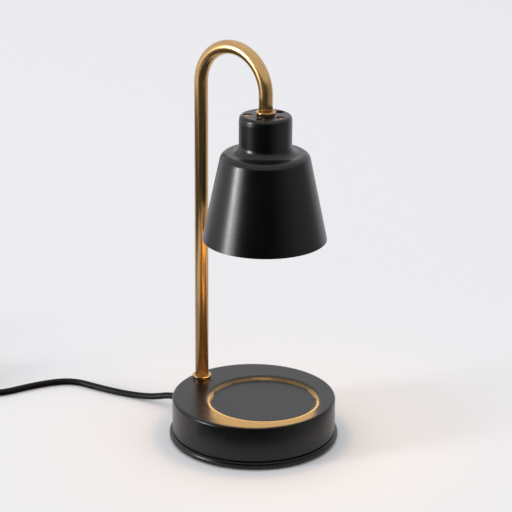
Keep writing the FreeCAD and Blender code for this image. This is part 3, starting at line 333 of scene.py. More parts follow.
def drum(radius, z0, z1, centre, segments=48):
    """A closed upright cylinder, in millimetres."""
    bm = bmesh.new()
    bmesh.ops.create_cone(
        bm,
        cap_ends=True,
        segments=segments,
        radius1=radius * MM,
        radius2=radius * MM,
        depth=(z1 - z0) * MM,
        matrix=Matrix.Translation(mm(centre[0], centre[1], (z0 + z1) / 2)),
    )
    return bm


def block(low, high):
    """A closed box between two corners, in millimetres."""
    bm = bmesh.new()
    middle = (mm(*low) + mm(*high)) / 2
    size = mm(*high) - mm(*low)
    bmesh.ops.create_cube(bm, size=1.0, matrix=Matrix.Translation(middle) @ Matrix.Diagonal((*size, 1.0)))
    return bm


def risen(bm, z0, z1, foot_round=0.0, top_round=0.0):
    """Raises a closed outline from z0 to z1, in millimetres, into a closed prism with rounded level edges."""
    foot = bmesh.ops.contextual_create(bm, geom=bm.edges[:])["faces"]
    made = bmesh.ops.extrude_face_region(bm, geom=foot, use_keep_orig=True)["geom"]
    bmesh.ops.translate(bm, verts=only(BMVert, made), vec=mm(0, 0, z1 - z0))
    bmesh.ops.recalc_face_normals(bm, faces=bm.faces)
    for z, rounding in ((z0, foot_round), (z1, top_round)):
        if rounding:
            rounded(bm, edges_at_height(bm, z), rounding * MM, 5, "EDGES")
    return bm


def slab(corners, z0, z1, foot_round=0.0, top_round=0.0):
    """A closed upright prism over corners, each (x, y) or (x, y, rounding, segments) in millimetres."""
    return risen(outline_mesh(corners, True, lambda x, y: (x, y, z0 * MM)), z0, z1, foot_round, top_round)


def rounded_box(centre, half_x, half_y, corner, segments=10):
    """The corners of a rectangle with rounded corners, for a slab."""
    sides = ((-1, -1), (1, -1), (1, 1), (-1, 1))
    return [(centre[0] + sx * half_x, centre[1] + sy * half_y, corner, segments) for sx, sy in sides]


def ribbed(root_r, tip_r, start, end, grooves):
    """The outline of a tapered rubber sleeve with flexing grooves: (radius, distance) corners in mm."""
    first, pitch, width, deep = 1.2, 2.0, 0.8, 0.35
    corners = [(root_r, start)]
    for index in range(grooves):
        near = start + first + pitch * index
        for at, depth in ((near, 0.0), (near, deep), (near + width, deep), (near + width, 0.0)):
            radius = root_r + (tip_r - root_r) * (at - start) / (end - start)
            corners.append((radius - depth, at, 0.12, 2))
    return corners + [(tip_r, end, 0.4, 3)]


def face_up(bm):
    """Turns an open skin so that most of it faces upward."""
    bmesh.ops.recalc_face_normals(bm, faces=bm.faces)
    if sum(face.normal.z * face.calc_area() for face in bm.faces) < 0:
        bmesh.ops.reverse_faces(bm, faces=bm.faces)


def plain_mesh(bm, name):
    """Turns a bmesh into a mesh and frees it."""
    mesh = bpy.data.meshes.new(name)
    bm.to_mesh(mesh)
    bm.free()
    return mesh


def finished_mesh(bm, name, sharp_deg=32.0):
    """Turns a bmesh into a mesh with smooth faces and its sharp edges marked."""
    for face in bm.faces:
        face.smooth = True
    for edge in bm.edges:
        if len(edge.link_faces) == 2 and edge.calc_face_angle(0.0) > math.radians(sharp_deg):
            edge.smooth = False
    return plain_mesh(bm, name)


def side_by_side(bodies):
    """Several bmeshes as one."""
    whole = bmesh.new()
    for body in bodies:
        mesh = plain_mesh(body, "part")
        whole.from_mesh(mesh)
        bpy.data.meshes.remove(mesh)
    return whole


def in_scene(name, data):
    """A new object in the scene that holds some data."""
    holder = bpy.data.objects.new(name, data)
    bpy.context.scene.collection.objects.link(holder)
    return holder


def give_wall(piece, thickness, even=False):
    """Gives a skin a wall on its inner side."""
    wall = piece.modifiers.new("Wall", "SOLIDIFY")
    wall.thickness = thickness
    wall.offset = -1.0
    wall.use_even_offset = even


def carved(bm, tools, operation="DIFFERENCE", wall=0.0):
    """The body after an even wall is given to it, and after each tool is cut away from or joined to it."""
    bodies = [in_scene("carving", plain_mesh(source, "carving")) for source in [bm, *tools]]
    if wall:
        give_wall(bodies[0], wall, even=True)
    for body in bodies[1:]:
        cut = bodies[0].modifiers.new("Cut", "BOOLEAN")
        cut.operation = operation
        cut.solver = "EXACT"
        cut.object = body
    depsgraph = bpy.context.evaluated_depsgraph_get()
    depsgraph.update()
    result = bmesh.new()
    result.from_object(bodies[0], depsgraph)
    for body in bodies:
        mesh = body.data
        bpy.data.objects.remove(body)
        bpy.data.meshes.remove(mesh)
    bmesh.ops.remove_doubles(result, verts=result.verts, dist=WELD_DISTANCE)
    return result


def add_piece(name, mesh, body, slot, *nodes):
    """Puts a mesh or curve into the scene with its body and its finish, and hides the CAD nodes it stands
    for.
    """
    piece = in_scene(name, mesh)
    mesh.materials.clear()
    mesh.materials.append(finish(slot))
    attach(piece, body)
    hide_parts(*nodes)
    return piece


def even_out(piece):
    """Shading that follows the large faces."""
    piece.modifiers.new("Shading", "WEIGHTED_NORMAL").keep_sharp = True


def add_even_piece(name, bm, slot, node, body="lamp"):
    even_out(add_piece(name, finished_mesh(bm, name), body, slot, node))


def finish_nodes(*names):
    """Gives CAD nodes that keep their shape the finish of their own slot."""
    for name in names:
        for slot in frame["nodes"][name].material_slots:
            slot.material = finish(SLOT_OF_NODE[name])


# ---------------------------------------------------------------- textures
def grey(level):
    return (level, level, level)


def set_sockets(tree, node, sources):
    """Sets a node's inputs, or links them where the source is another node's output."""
    for socket, source in sources.items():
        if hasattr(source, "is_linked"):
            tree.links.new(source, node.inputs[socket])
        else:
            node.inputs[socket].default_value = source


def add_node(tree, kind, sources, **values):
    """A node with its properties set and its inputs set or linked."""
    node = tree.nodes.new(kind)
    for key, value in values.items():
        setattr(node, key, value)
    set_sockets(tree, node, sources)
    return node


def math_node(tree, operation, *sources):
    return add_node(tree, "ShaderNodeMath", dict(enumerate(sources)), operation=operation).outputs[0]


def map_range(tree, value, low, high, top=1.0):
    """A value between low and high, spread from 0 to top."""
    sources = {"Value": value, "From Min": low, "From Max": high, "To Max": top}
    return add_node(tree, "ShaderNodeMapRange", sources).outputs["Result"]


def mix_colour(tree, factor, first, second):
    return add_node(tree, "ShaderNodeMix", {0: factor, 6: first, 7: second}, data_type="RGBA").outputs[2]


def split_axes(tree, vector):
    return add_node(tree, "ShaderNodeSeparateXYZ", {0: vector}).outputs


def noise(tree, vector, scale, detail, roughness=0.5, **more):
    """A noise pattern; a W among the further sockets gives it a fourth dimension."""
    sources = {"Vector": vector, "Scale": scale, "Detail": detail, "Roughness": roughness, **more}
    dimensions = "4D" if more else "3D"
    return add_node(tree, "ShaderNodeTexNoise", sources, noise_dimensions=dimensions).outputs["Fac"]


def texture_group(name, first, second, numbers):
    """An empty texture: a shader group with a place, two colours and its numbers, at their usual values."""
    group = bpy.data.node_groups.new(name, "ShaderNodeTree")
    inputs = [("Vector", "Vector", None)]
    inputs += [("Colour", "Color", (*first, 1.0)), ("Second colour", "Color", (*second, 1.0))]
    inputs += [(title, "Float", value) for title, value in numbers.items()]
    for title, kind, value in inputs:
        socket = group.interface.new_socket(title, in_out="INPUT", socket_type="NodeSocket" + kind)
        if value is not None:
            socket.default_value = value
    for title, kind in (("Colour", "Color"), ("Roughness", "Float"), ("Normal", "Vector")):
        group.interface.new_socket(title, in_out="OUTPUT", socket_type="NodeSocket" + kind)
    return group, group.nodes.new("NodeGroupInput").outputs


def end_texture(group, given, fine, share, patches, height):
    """The fine pattern, by its share, and the patches vary colour and roughness; it alone makes the bumps."""
    fine_part = math_node(group, "MULTIPLY", fine, share)
    blend = math_node(group, "ADD", fine_part, math_node(group, "MULTIPLY", patches, 1.0 - share))
    blend = map_range(group, blend, 0.3, 0.7)
    swing = math_node(group, "MULTIPLY", math_node(group, "SUBTRACT", blend, 0.5), given["Roughness spread"])
    bump = add_node(group, "ShaderNodeBump", {"Height": fine, "Distance": given[height], "Strength": 1.0})
    results = {
        "Colour": mix_colour(group, blend, given["Colour"], given["Second colour"]),
        "Roughness": math_node(group, "ADD", given["Roughness"], swing),
        "Normal": bump.outputs["Normal"],
    }
    set_sockets(group, group.nodes.new("NodeGroupOutput"), results)
    return group


def grain_texture():
    """Fine grain over a broad unevenness: paint, plastic, rubber, cast iron and ceramics."""
    numbers = {"Roughness": 0.5, "Roughness spread": 0.1}
    numbers |= {"Grains per metre": 2000.0, "Grain height": 10e-6, "Patch size": 60.0}
    group, given = texture_group("Fine grain", grey(0.5), grey(0.4), numbers)
    grain = noise(group, given["Vector"], given["Grains per metre"], 3.0, 0.6)
    patches = noise(group, given["Vector"], given["Patch size"], 4.0, 0.55)
    return end_texture(group, given, grain, 0.4, patches, "Grain height")


def hairline_texture():
    """Hairlines across a given direction, for brushed and turned metal."""
    numbers = {"Roughness": 0.3, "Roughness spread": 0.1, "Across": 0.0}
    numbers |= {"Lines per metre": 4000.0, "Line height": 4e-6, "Line breaks": 60.0}
    group, given = texture_group("Hairlines", (0.5, 0.4, 0.2), (0.4, 0.3, 0.1), numbers)
    sources = {0: given["Vector"], "Scale": given["Line breaks"]}
    stretched = add_node(group, "ShaderNodeVectorMath", sources, operation="SCALE").outputs[0]
    across = math_node(group, "MULTIPLY", given["Across"], given["Lines per metre"])
    lines = noise(group, stretched, 1.0, 3.0, 0.65, W=across)
    patches = noise(group, given["Vector"], 45.0, 3.0)
    return end_texture(group, given, lines, 0.65, patches, "Line height")


TEXTURES = {}


def bare_material(name, **sockets):
    """A material with some of its shader's sockets set, its tree, its shader and the object's coordinates."""
    material = bpy.data.materials.new(name)
    material.use_nodes = True
    tree = material.node_tree
    shader = tree.nodes["Principled BSDF"]
    set_sockets(tree, shader, {key.replace("_", " "): value for key, value in sockets.items()})
    return material, tree, shader, tree.nodes.new("ShaderNodeTexCoord").outputs["Object"]


def matt_material(name, tint, **sockets):
    """A bare material that neither shines nor mirrors, for the stage."""
    return bare_material(name, Base_Color=(*tint, 1.0), Roughness=1.0, Specular_IOR_Level=0.0, **sockets)


def add_texture(tree, shader, make_texture, **sources):
    """Wires a shared texture to a shader, with this material's own values."""
    if make_texture not in TEXTURES:
        TEXTURES[make_texture] = make_texture()
    sources = {key.replace("_", " "): value for key, value in sources.items()}
    made = add_node(tree, "ShaderNodeGroup", sources, node_tree=TEXTURES[make_texture]).outputs
    results = {"Base Color": made["Colour"], "Roughness": made["Roughness"], "Normal": made["Normal"]}
    set_sockets(tree, shader, results)


def grained(name, first, second, roughness, spread, grains, height, patch=60.0, **sockets):
    """A material from the grain texture; further values go on the shader's own sockets."""
    material, tree, shader, place = bare_material(name, **sockets)
    add_texture(
        tree,
        shader,
        grain_texture,
        Vector=place,
        Colour=(*first, 1.0),
        Second_colour=(*second, 1.0),
        Roughness=roughness,
        Roughness_spread=spread,
        Grains_per_metre=grains,
        Grain_height=height,
        Patch_size=patch,
    )
    return material


def hairlined(name, first, second, roughness, spread, lines, height, across, metallic):
    """A brushed or turned metal; across names the attribute, or the axis, that counts its lines."""
    material, tree, shader, place = bare_material(name, Metallic=metallic)
    if across in "XYZ":
        position = split_axes(tree, place)[across]
    else:
        position = add_node(tree, "ShaderNodeAttribute", {}, attribute_name=across).outputs["Fac"]
    add_texture(
        tree,
        shader,
        hairline_texture,
        Across=position,
        Vector=place,
        Colour=(*first, 1.0),
        Second_colour=(*second, 1.0),
        Roughness=roughness,
        Roughness_spread=spread,
        Lines_per_metre=lines,
        Line_height=height,
        Line_breaks=60.0,
    )
    return material


# ---------------------------------------------------------------- finishes
def own_colour(name, factor=1.4):
    """A colour from the settings, and the same colour lighter or darker for the finish's unevenness."""
    chosen = tuple(getattr(bpy.context.scene.lamp_finish, name))
    return chosen, tuple(part * factor for part in chosen)


def make_black_steel():
    look = {"roughness": 0.28, "spread": 0.06, "grains": 1600, "height": 4.5e-6}
    return grained("Base black", *own_colour("base_paint"), **look, Specular_IOR_Level=0.40)


def inside_neck(tree, place):
    """1 on the neck's inner side, behind the vents, and 0 elsewhere on the shade."""

    def calc(operation, *sources):
        return math_node(tree, operation, *sources)

    shade = bpy.context.scene.lamp_shade
    rounding, skin, near, far = shade.neck_rounding, 0.8 * MM, 0.6 * MM, 20.0 * MM
    axes = split_axes(tree, place)
    across = calc("SUBTRACT", axes["X"], shade_centre() * MM)
    square = calc("ADD", calc("MULTIPLY", across, across), calc("MULTIPLY", axes["Y"], axes["Y"]))
    height = calc("MAXIMUM", calc("SUBTRACT", axes["Z"], shade.neck_top - rounding), 0.0)
    drop = calc("SUBTRACT", rounding**2, calc("MULTIPLY", height, height))
    reach = calc("SQRT", calc("MAXIMUM", drop, 0.0))
    reach = calc("ADD", reach, shade.neck_radius - rounding - skin)
    inside = calc("LESS_THAN", calc("SQRT", square), reach)
    inside = calc("MULTIPLY", inside, calc("LESS_THAN", axes["Z"], shade.neck_top - near))
    return calc("MULTIPLY", inside, calc("GREATER_THAN", axes["Z"], shade.neck_top - far))


def make_shade_steel():
    """Satin black paint; inside the neck, behind the vents, a warm brown painted glow stands in for the lit
    interior seen through the vents, which the red lamp behind the bulb also lights.
    """
    material, tree, shader, place = bare_material("Shade black", Specular_IOR_Level=0.42)
    inside = inside_neck(tree, place)
    paint, lighter = own_colour("shade_paint")
    add_texture(
        tree,
        shader,
        grain_texture,
        Vector=place,
        # painted glow: the warm brown inside the neck stands in for light on the interior seen through the
        # vents
        Colour=mix_colour(tree, inside, (*paint, 1.0), (0.19, 0.115, 0.075, 1.0)),
        Second_colour=mix_colour(tree, inside, (*lighter, 1.0), (0.13, 0.07, 0.045, 1.0)),
        Roughness=0.28,
        Roughness_spread=0.06,
        Grains_per_metre=1600.0,
        Grain_height=6e-6,
        Patch_size=60.0,
    )
    return material


def make_satin_brass():
    look = {"roughness": 0.24, "spread": 0.10, "lines": 5200, "height": 1.4e-6}
    return hairlined("Satin brass", *own_colour("tube_brass", 0.79), **look, across="along", metallic=0.93)


def make_turned_brass():
    look = {"roughness": 0.20, "spread": 0.08, "lines": 6000, "height": 1.5e-6}
    return hairlined("Turned brass", *own_colour("collar_brass", 0.83), **look, across="Z", metallic=1.0)


def make_foot_foam():
    look = {"roughness": 0.92, "spread": 0.06, "grains": 3500, "height": 60e-6}
    return grained("Foot foam", grey(0.018), grey(0.03), **look)


def make_raw_iron():
    look = {"roughness": 0.62, "spread": 0.18, "grains": 1200, "height": 80e-6}
    return grained("Cast iron", (0.10, 0.095, 0.09), (0.05, 0.045, 0.042), **look, Metallic=0.85)


def make_zinc_steel():
    look = {"roughness": 0.32, "spread": 0.12, "grains": 2600, "height": 4e-6, "patch": 220.0}
    return grained("Zinc plate", (0.56, 0.57, 0.58), (0.46, 0.47, 0.47), **look, Metallic=1.0)


def make_bush_nylon():
    look = {"roughness": 0.5, "spread": 0.08, "grains": 1800, "height": 6e-6}
    return grained("Bush nylon", (0.55, 0.53, 0.48), (0.48, 0.46, 0.41), **look)


def make_steatite():
    look = {"roughness": 0.48, "spread": 0.12, "grains": 2200, "height": 10e-6, "patch": 140.0}
    return grained("Lampholder ceramic", (0.74, 0.71, 0.64), (0.66, 0.63, 0.56), **look)


def make_contact_brass():
    look = {"roughness": 0.28, "spread": 0.1, "grains": 2600, "height": 4e-6}
    return grained("Contact brass", (0.70, 0.52, 0.26), (0.60, 0.43, 0.20), **look, Metallic=1.0)


def make_reflector_glass():
    look = {"roughness": 0.12, "spread": 0.06, "grains": 900, "height": 10e-6, "patch": 90.0}
    return grained("Mirrored glass", (0.82, 0.82, 0.80), (0.72, 0.72, 0.71), **look, Metallic=1.0)


def make_lens_glass():
    look = {"roughness": 0.10, "spread": 0.04, "grains": 700, "height": 60e-6}
    glass = {"IOR": 1.5, "Transmission_Weight": 0.9}
    glow = {"Emission_Color": (1.0, 0.66, 0.32, 1.0), "Emission_Strength": 0.10}
    return grained("Lens glass", (0.95, 0.92, 0.86), (0.92, 0.88, 0.80), **look, **glass, **glow)


def make_burner_quartz():
    look = {"roughness": 0.08, "spread": 0.04, "grains": 1500, "height": 10e-6}
    glass = {"IOR": 1.46, "Transmission_Weight": 0.5}
    glow = {"Emission_Color": (1.0, 0.62, 0.28, 1.0), "Emission_Strength": 2.0}
    return grained("Burner quartz", (0.95, 0.92, 0.88), (0.9, 0.86, 0.8), **look, **glass, **glow)


def make_pin_nickel():
    look = {"roughness": 0.24, "spread": 0.1, "grains": 2600, "height": 3e-6}
    return grained("Pin nickel", (0.66, 0.64, 0.60), (0.58, 0.56, 0.52), **look, Metallic=1.0)


def wire_sleeve(name, first, second, roughness=0.45):
    """The insulation of a single wire."""
    return grained(name, first, second, roughness, spread=0.1, grains=2400, height=6e-6)


def make_lead_brown():
    return wire_sleeve("Lead sleeve, brown", (0.11, 0.045, 0.02), (0.08, 0.03, 0.014))


def make_lead_blue():
    return wire_sleeve("Lead sleeve, blue", (0.02, 0.07, 0.26), (0.015, 0.05, 0.19))


def make_core_insulation():
    return wire_sleeve("Core insulation", grey(0.03), grey(0.045), roughness=0.5)


def make_terminal_plastic():
    look = {"roughness": 0.42, "spread": 0.08, "grains": 1500, "height": 8e-6}
    return grained("Terminal plastic", (0.62, 0.60, 0.54), (0.55, 0.53, 0.47), **look)


def make_cord_black():
    look = {"roughness": 0.42, "spread": 0.10, "grains": 1500, "height": 8e-6, "patch": 90.0}
    return grained("Cord sheath", *own_colour("cord_sheath", 1.7), **look, Specular_IOR_Level=0.16)


def make_relief_black():
    look = {"roughness": 0.52, "spread": 0.10, "grains": 1800, "height": 12e-6}
    return grained("Relief rubber", grey(0.010), grey(0.016), **look)


def make_dimmer_plastic():
    look = {"roughness": 0.46, "spread": 0.08, "grains": 1300, "height": 20e-6}
    return grained("Dimmer plastic", *own_colour("dimmer_plastic"), **look)


def make_wheel_plastic():
    look = {"roughness": 0.5, "spread": 0.10, "grains": 1500, "height": 15e-6}
    return grained("Wheel plastic", (0.016, 0.016, 0.017), (0.022, 0.022, 0.023), **look)


def make_board_green():
    look = {"roughness": 0.36, "spread": 0.1, "grains": 900, "height": 6e-6}
    return grained("Circuit board", (0.012, 0.10, 0.035), (0.01, 0.075, 0.026), **look)


def make_board_part():
    look = {"roughness": 0.45, "spread": 0.1, "grains": 1800, "height": 10e-6}
    return grained("Board parts", grey(0.02), grey(0.035), **look)


def make_potentiometer_case():
    look = {"roughness": 0.4, "spread": 0.1, "grains": 1600, "height": 8e-6}
    return grained("Potentiometer case", (0.035, 0.06, 0.13), (0.028, 0.048, 0.10), **look)


def make_tie_wire():
    look = {"roughness": 0.42, "spread": 0.1, "grains": 1800, "height": 12e-6}
    return grained("Tie band", grey(0.012), grey(0.018), **look)


def make_plug_pvc():
    look = {"roughness": 0.48, "spread": 0.10, "grains": 1400, "height": 18e-6}
    return grained("Plug rubber", *own_colour("plug_rubber", 1.5), **look)


def make_blade_nickel():
    look = {"roughness": 0.22, "spread": 0.14, "grains": 2600, "height": 4e-6, "patch": 300.0}
    return grained("Blade nickel", (0.72, 0.70, 0.64), (0.62, 0.60, 0.54), **look, Metallic=1.0)


MAKERS = {
    "black_steel": make_black_steel,
    "shade_steel": make_shade_steel,
    "satin_brass": make_satin_brass,
    "turned_brass": make_turned_brass,
    "foot_foam": make_foot_foam,
    "raw_iron": make_raw_iron,
    "zinc_steel": make_zinc_steel,
    "bush_nylon": make_bush_nylon,
    "steatite": make_steatite,
    "contact_brass": make_contact_brass,
    "reflector_glass": make_reflector_glass,
    "lens_glass": make_lens_glass,
    "burner_quartz": make_burner_quartz,
    "pin_nickel": make_pin_nickel,
    "lead_brown": make_lead_brown,
    "lead_blue": make_lead_blue,
    "core_insulation": make_core_insulation,
    "terminal_plastic": make_terminal_plastic,
    "cord_black": make_cord_black,
    "relief_black": make_relief_black,
    "dimmer_plastic": make_dimmer_plastic,
    "wheel_plastic": make_wheel_plastic,
    "board_green": make_board_green,
    "board_part": make_board_part,
    "potentiometer_case": make_potentiometer_case,
    "tie_wire": make_tie_wire,
    "plug_pvc": make_plug_pvc,
    "blade_nickel": make_blade_nickel,
}
FINISHES = {}


def finish(slot):
    """The material of a slot, made once."""
    if slot not in FINISHES:
        FINISHES[slot] = MAKERS[slot]()
    return FINISHES[slot]


# ---------------------------------------------------------------- base
CORD_EXIT_Z = 10.0
COVER_SCREWS = [(39.0, 0.0), (-20.0, 44.0), (-20.0, -44.0)]
BASE_STEPS = 160


def make_base_cap():
    """The pressed cap, with the candle dish in its top, the tube's hole and the notch for the cord."""
    base = sizes_of("base")
    cap_r, lip_r, top = base.cap_radius, base.dish_radius, base.height
    dish_z = top - base.dish_depth
    edge = (cap_r, top, base.cap_rounding, 8)
    wall = turned([(cap_r, base.groove_top), edge, (cap_r - 3.2, top)], BASE_STEPS)
    line = [(lip_r, top), (lip_r - 3.0, top, 4.0, 8), (lip_r - 6.5, dish_z, 2.5, 6), (0.0, dish_z)]
    bm = side_by_side([wall, turned(line, BASE_STEPS, shade_centre())])
    bmesh.ops.bridge_loops(bm, edges=open_edges_at_height(bm, top))
    face_up(bm)
    notch_r, notch_foot, notch_start = 3.5, 5.0, -cap_r - 1.8
    tube_x, tube_hole_r = -sizes_of("arm").tube_offset, 5.15
    tools = [
        drum(tube_hole_r, top - 4.0, top + 4.0, (tube_x, 0.0)),
        rod(notch_r, 4.0, (notch_start, 0.0, CORD_EXIT_Z)),
        block((notch_start, -notch_r, notch_foot), (-cap_r + 2.2, notch_r, CORD_EXIT_Z)),
    ]
    cap = carved(bm, tools, wall=base.group.sheet)
    add_even_piece("base_cap_shell", cap, "black_steel", "base_cap")


def feet_places(base):
    across = base.feet_circle * math.sqrt(0.5)
    return [(sx * across, sy * across) for sx in (-1, 1) for sy in (-1, 1)]


def make_base_cover():
    """The bottom disc, with its proud bead, its spigot in the cap, the cord's boss, and its holes."""
    base = sizes_of("base")
    bead_r, bead_top, bead_foot = base.bead_radius, base.bead_top, base.bead_foot
    cap_foot, under, floor = base.groove_top, 1.0, 3.5
    seat_r, seat_z = base.cap_radius - 0.8, bead_top - 0.8
    spigot_r, spigot_top = seat_r - 0.5, cap_foot + 5.0
    line = [
        (0.0, under),
        (seat_r - 1.2, under, 0.4, 2),
        (seat_r - 0.4, bead_foot, 0.6, 3),
        (bead_r, bead_foot, 2.6, 8),
        (bead_r, bead_top, 2.5, 8),
        (seat_r + 0.5, bead_top, 0.2, 2),
        (seat_r + 0.4, seat_z),
        (seat_r, seat_z),
        (seat_r, cap_foot),
        (spigot_r, cap_foot),
        (spigot_r, spigot_top, 0.3, 2),
        (spigot_r - 1.5, spigot_top, 0.3, 2),
        (spigot_r - 1.5, floor),
        (0.0, floor),
    ]
    boss = block((-48.0, -10.0, floor - 1.0), (-42.0, 10.0, 9.75))
    cover = carved(turned(line, BASE_STEPS), [boss], "UNION")
    notch = block((-seat_r - 0.2, -4.8, 5.2), (-49.4, 4.8, cap_foot + 6.0))
    tools = [notch, rod(3.0, 10.0, (-50.0, 0.0, CORD_EXIT_Z))]
    tools += [drum(base.foot_radius, under - 1.0, under + 1.0, place) for place in feet_places(base)]
    head_r, shank_r, below, above = 3.95, 2.05, under - 0.5, 5.0
    hole = [(0, below), (head_r, below), (head_r, under)]
    hole += [(shank_r, under + 2.0), (shank_r, above), (0, above)]
    tools += [turned(hole, 32, x, y) for x, y in COVER_SCREWS]
    add_even_piece("base_cover_bead", carved(cover, tools), "black_steel", "base_cover")


def make_feet():
    """Four foam feet, each a little smaller than its recess."""
    base = sizes_of("base")
    radius, height = base.foot_radius - 0.05, 2.0
    line = [(0.0, 0.0), (radius, 0.0, 0.6, 4), (radius, height), (0.0, height)]
    feet = side_by_side([turned(line, 40, *place) for place in feet_places(base)])
    add_piece("foam_feet", finished_mesh(feet, "foam_feet"), "lamp", "foot_foam", "feet")


class LAMP_OT_base(bpy.types.Operator):
    """Makes the base: the cap with its candle dish, the cover with its rounded bead, and the feet"""

    bl_idname = "lamp.base"
    bl_label = "Make the base"

    def execute(self, context):
        make_base_cap()
        make_base_cover()
        make_feet()
        finish_nodes("ballast", "cap_posts", "cover_screws")
        return {"FINISHED"}


# ---------------------------------------------------------------- arm
def distance_along_arm(place, arm):
    """How far along the arm's line a point lies, in metres, from the level of the table."""
    arch_x = arm.arch_radius - arm.tube_offset
    if place.z > arm.arch_height:
        angle = math.atan2(place.z - arm.arch_height, arch_x - place.x)
        return arm.arch_height + arm.arch_radius * angle
    if place.x < arch_x:
        return place.z
    return 2 * arm.arch_height + math.pi * arm.arch_radius - place.z


def make_tube():
    """The bent tube: up from the base, round half a turn, and down into the shade's neck."""
    arm = bpy.context.scene.lamp_arm
    foot_z, neck_z = 21.5 * MM, 238.5 * MM
    bm = bmesh.new()
    foot = Matrix.Translation((-arm.tube_offset, 0, foot_z))
    bmesh.ops.create_circle(bm, segments=64, radius=arm.tube_radius, matrix=foot)
    leg = bmesh.ops.extrude_edge_only(bm, edges=bm.edges[:])["geom"]
    ring = only(BMVert, leg)
    bmesh.ops.translate(bm, verts=ring, vec=(0, 0, arm.arch_height - foot_z))
    ring += only(BMEdge, leg)
    bend = (arm.arch_radius - arm.tube_offset, 0, arm.arch_height)
    arch = bmesh.ops.spin(bm, geom=ring, cent=bend, axis=(0, 1, 0), angle=math.pi, steps=96)["geom_last"]
    drop = bmesh.ops.extrude_edge_only(bm, edges=only(BMEdge, arch))["geom"]
    bmesh.ops.translate(bm, verts=only(BMVert, drop), vec=(0, 0, neck_z - arm.arch_height))
    mesh = finished_mesh(welded(bm), "arm_tube", sharp_deg=60.0)
    along = mesh.attributes.new("along", "FLOAT", "POINT")
    for vert, value in zip(mesh.vertices, along.data):
        value.value = distance_along_arm(vert.co, arm)
    give_wall(add_piece("arm_tube", mesh, "lamp", "satin_brass", "tube"), arm.tube_wall)


def make_collar(name, node, x, z):
    """A turned ring round the tube that stands on z, hollowed under its raised lip."""
    arm = sizes_of("arm")
    tube_r, out, inner_top = arm.tube_radius, arm.collar_radius, z + 1.3
    lip = [(out - 0.75, z), (out, z + 1.9), (out, z + 2.5), (out - 0.55, z + 2.5), (out - 1.3, inner_top)]
    line = [(tube_r, z)] + [(*corner, 0.25, 3) for corner in lip] + [(tube_r, inner_top)]
    add_even_piece(name, turned(line, 96, x, closed=True), "turned_brass", node)


class LAMP_OT_arm(bpy.types.Operator):
    """Makes the brass tube with its arch, its two turned collars and the parts that fix its ends"""

    bl_idname = "lamp.arm"
    bl_label = "Make the arm"

    def execute(self, context):
        make_tube()
        make_collar("collar_at_base", "foot_collar", -sizes_of("arm").tube_offset, sizes_of("base").height)
        make_collar("collar_at_neck", "neck_collar", shade_centre(), sizes_of("shade").neck_top)
        finish_nodes("foot_washer", "foot_spring_washer", "foot_nut", "tube_bush", "neck_washer", "neck_nut")
        return {"FINISHED"}


# ---------------------------------------------------------------- shade
TUBE_CLEARANCE = 0.15
SHADE_EDGE_ROUNDING = 0.12


def make_shade():
    """One spun skin from rim to neck, whose top is filled in round the tube's hole and the vents."""
    shade, metres = sizes_of("shade"), bpy.context.scene.lamp_shade
    x, neck_r, neck_top, shoulder_z = shade_centre(), shade.neck_radius, shade.neck_top, shade.shoulder_height
    line = [
        (shade.rim_radius, shade.rim_height),
        (shade.shoulder_radius, shoulder_z, 5.5, 12),
        (neck_r, shoulder_z, 6.2, 14),
        (neck_r, neck_top - 4.9, 9.0, 4),
        (neck_r - 0.4, neck_top, shade.neck_rounding, 10),
        (neck_r - 3.0, neck_top),
    ]
    bm = turned(line, 192, x)
    holes = [(0.0, 0.0, bpy.context.scene.lamp_arm.tube_radius + TUBE_CLEARANCE * MM)]
    first_vent = math.radians(5.6)
    for index in range(metres.vents):
        angle = first_vent + FULL_TURN * index / metres.vents
        across = metres.vent_circle * Vector((math.cos(angle), math.sin(angle)))
        holes.append((*across, metres.vent_radius))
    top = open_edges_at_height(bm, neck_top)
    for dx, dy, radius in holes:
        place = Matrix.Translation((x * MM + dx, dy, metres.neck_top))
        made = bmesh.ops.create_circle(bm, segments=48, radius=radius, matrix=place)
        top += {edge for vert in made["verts"] for edge in vert.link_edges}
    bmesh.ops.triangle_fill(bm, use_beauty=True, edges=top, normal=(0, 0, 1))
    face_up(bm)
    piece = add_piece("shade_shell", finished_mesh(bm, "shade_shell"), "lamp", "shade_steel", "shade")
    give_wall(piece, metres.sheet)
    bevel = piece.modifiers.new("Edges", "BEVEL")
    bevel.width = SHADE_EDGE_ROUNDING * MM
    bevel.segments = 2
    bevel.limit_method = "ANGLE"
    bevel.angle_limit = math.radians(60.0)
    even_out(piece)


class LAMP_OT_shade(bpy.types.Operator):
    """Makes the spun shade with the vents in the top of its neck"""

    bl_idname = "lamp.shade"
    bl_label = "Make the shade"

    def execute(self, context):
        make_shade()
        finish_nodes("holder_bracket", "bracket_screws", "lampholder", "contact_clips")
        return {"FINISHED"}


# ---------------------------------------------------------------- bulb
def make_reflector(bulb, x):
    """A glass bowl, smooth outside, whose mirrored inside is a net of flat facets."""
    front, rim_r = bulb.front_height, bulb.radius
    glass, seat_z, seat_r, lens_seat = 1.3, front + 34.5, 9.6, front + 2.1
    line = [
        (rim_r - glass, front),
        (rim_r, front, 0.5, 3),
        (rim_r, front + 3.4),
        (rim_r - 1.31, front + 22.11, 45.0, 12),
        (seat_r, seat_z),
        (seat_r - glass, seat_z),
        (rim_r - 2.56, front + 21.36, 48.0, 10),
        (rim_r - glass, lens_seat),
    ]
    mesh = finished_mesh(turned(line, bulb.facets, x, closed=True), "bulb_bowl", sharp_deg=40.0)
    for face in mesh.polygons:
        outward = (face.center - mm(x, 0, 0)).to_2d()
        if face.normal.to_2d().dot(outward) < 0 and face.center.z > lens_seat * MM:
            face.use_smooth = False
    add_piece("bulb_bowl", mesh, "bulb", "reflector_glass", "bulb_reflector")


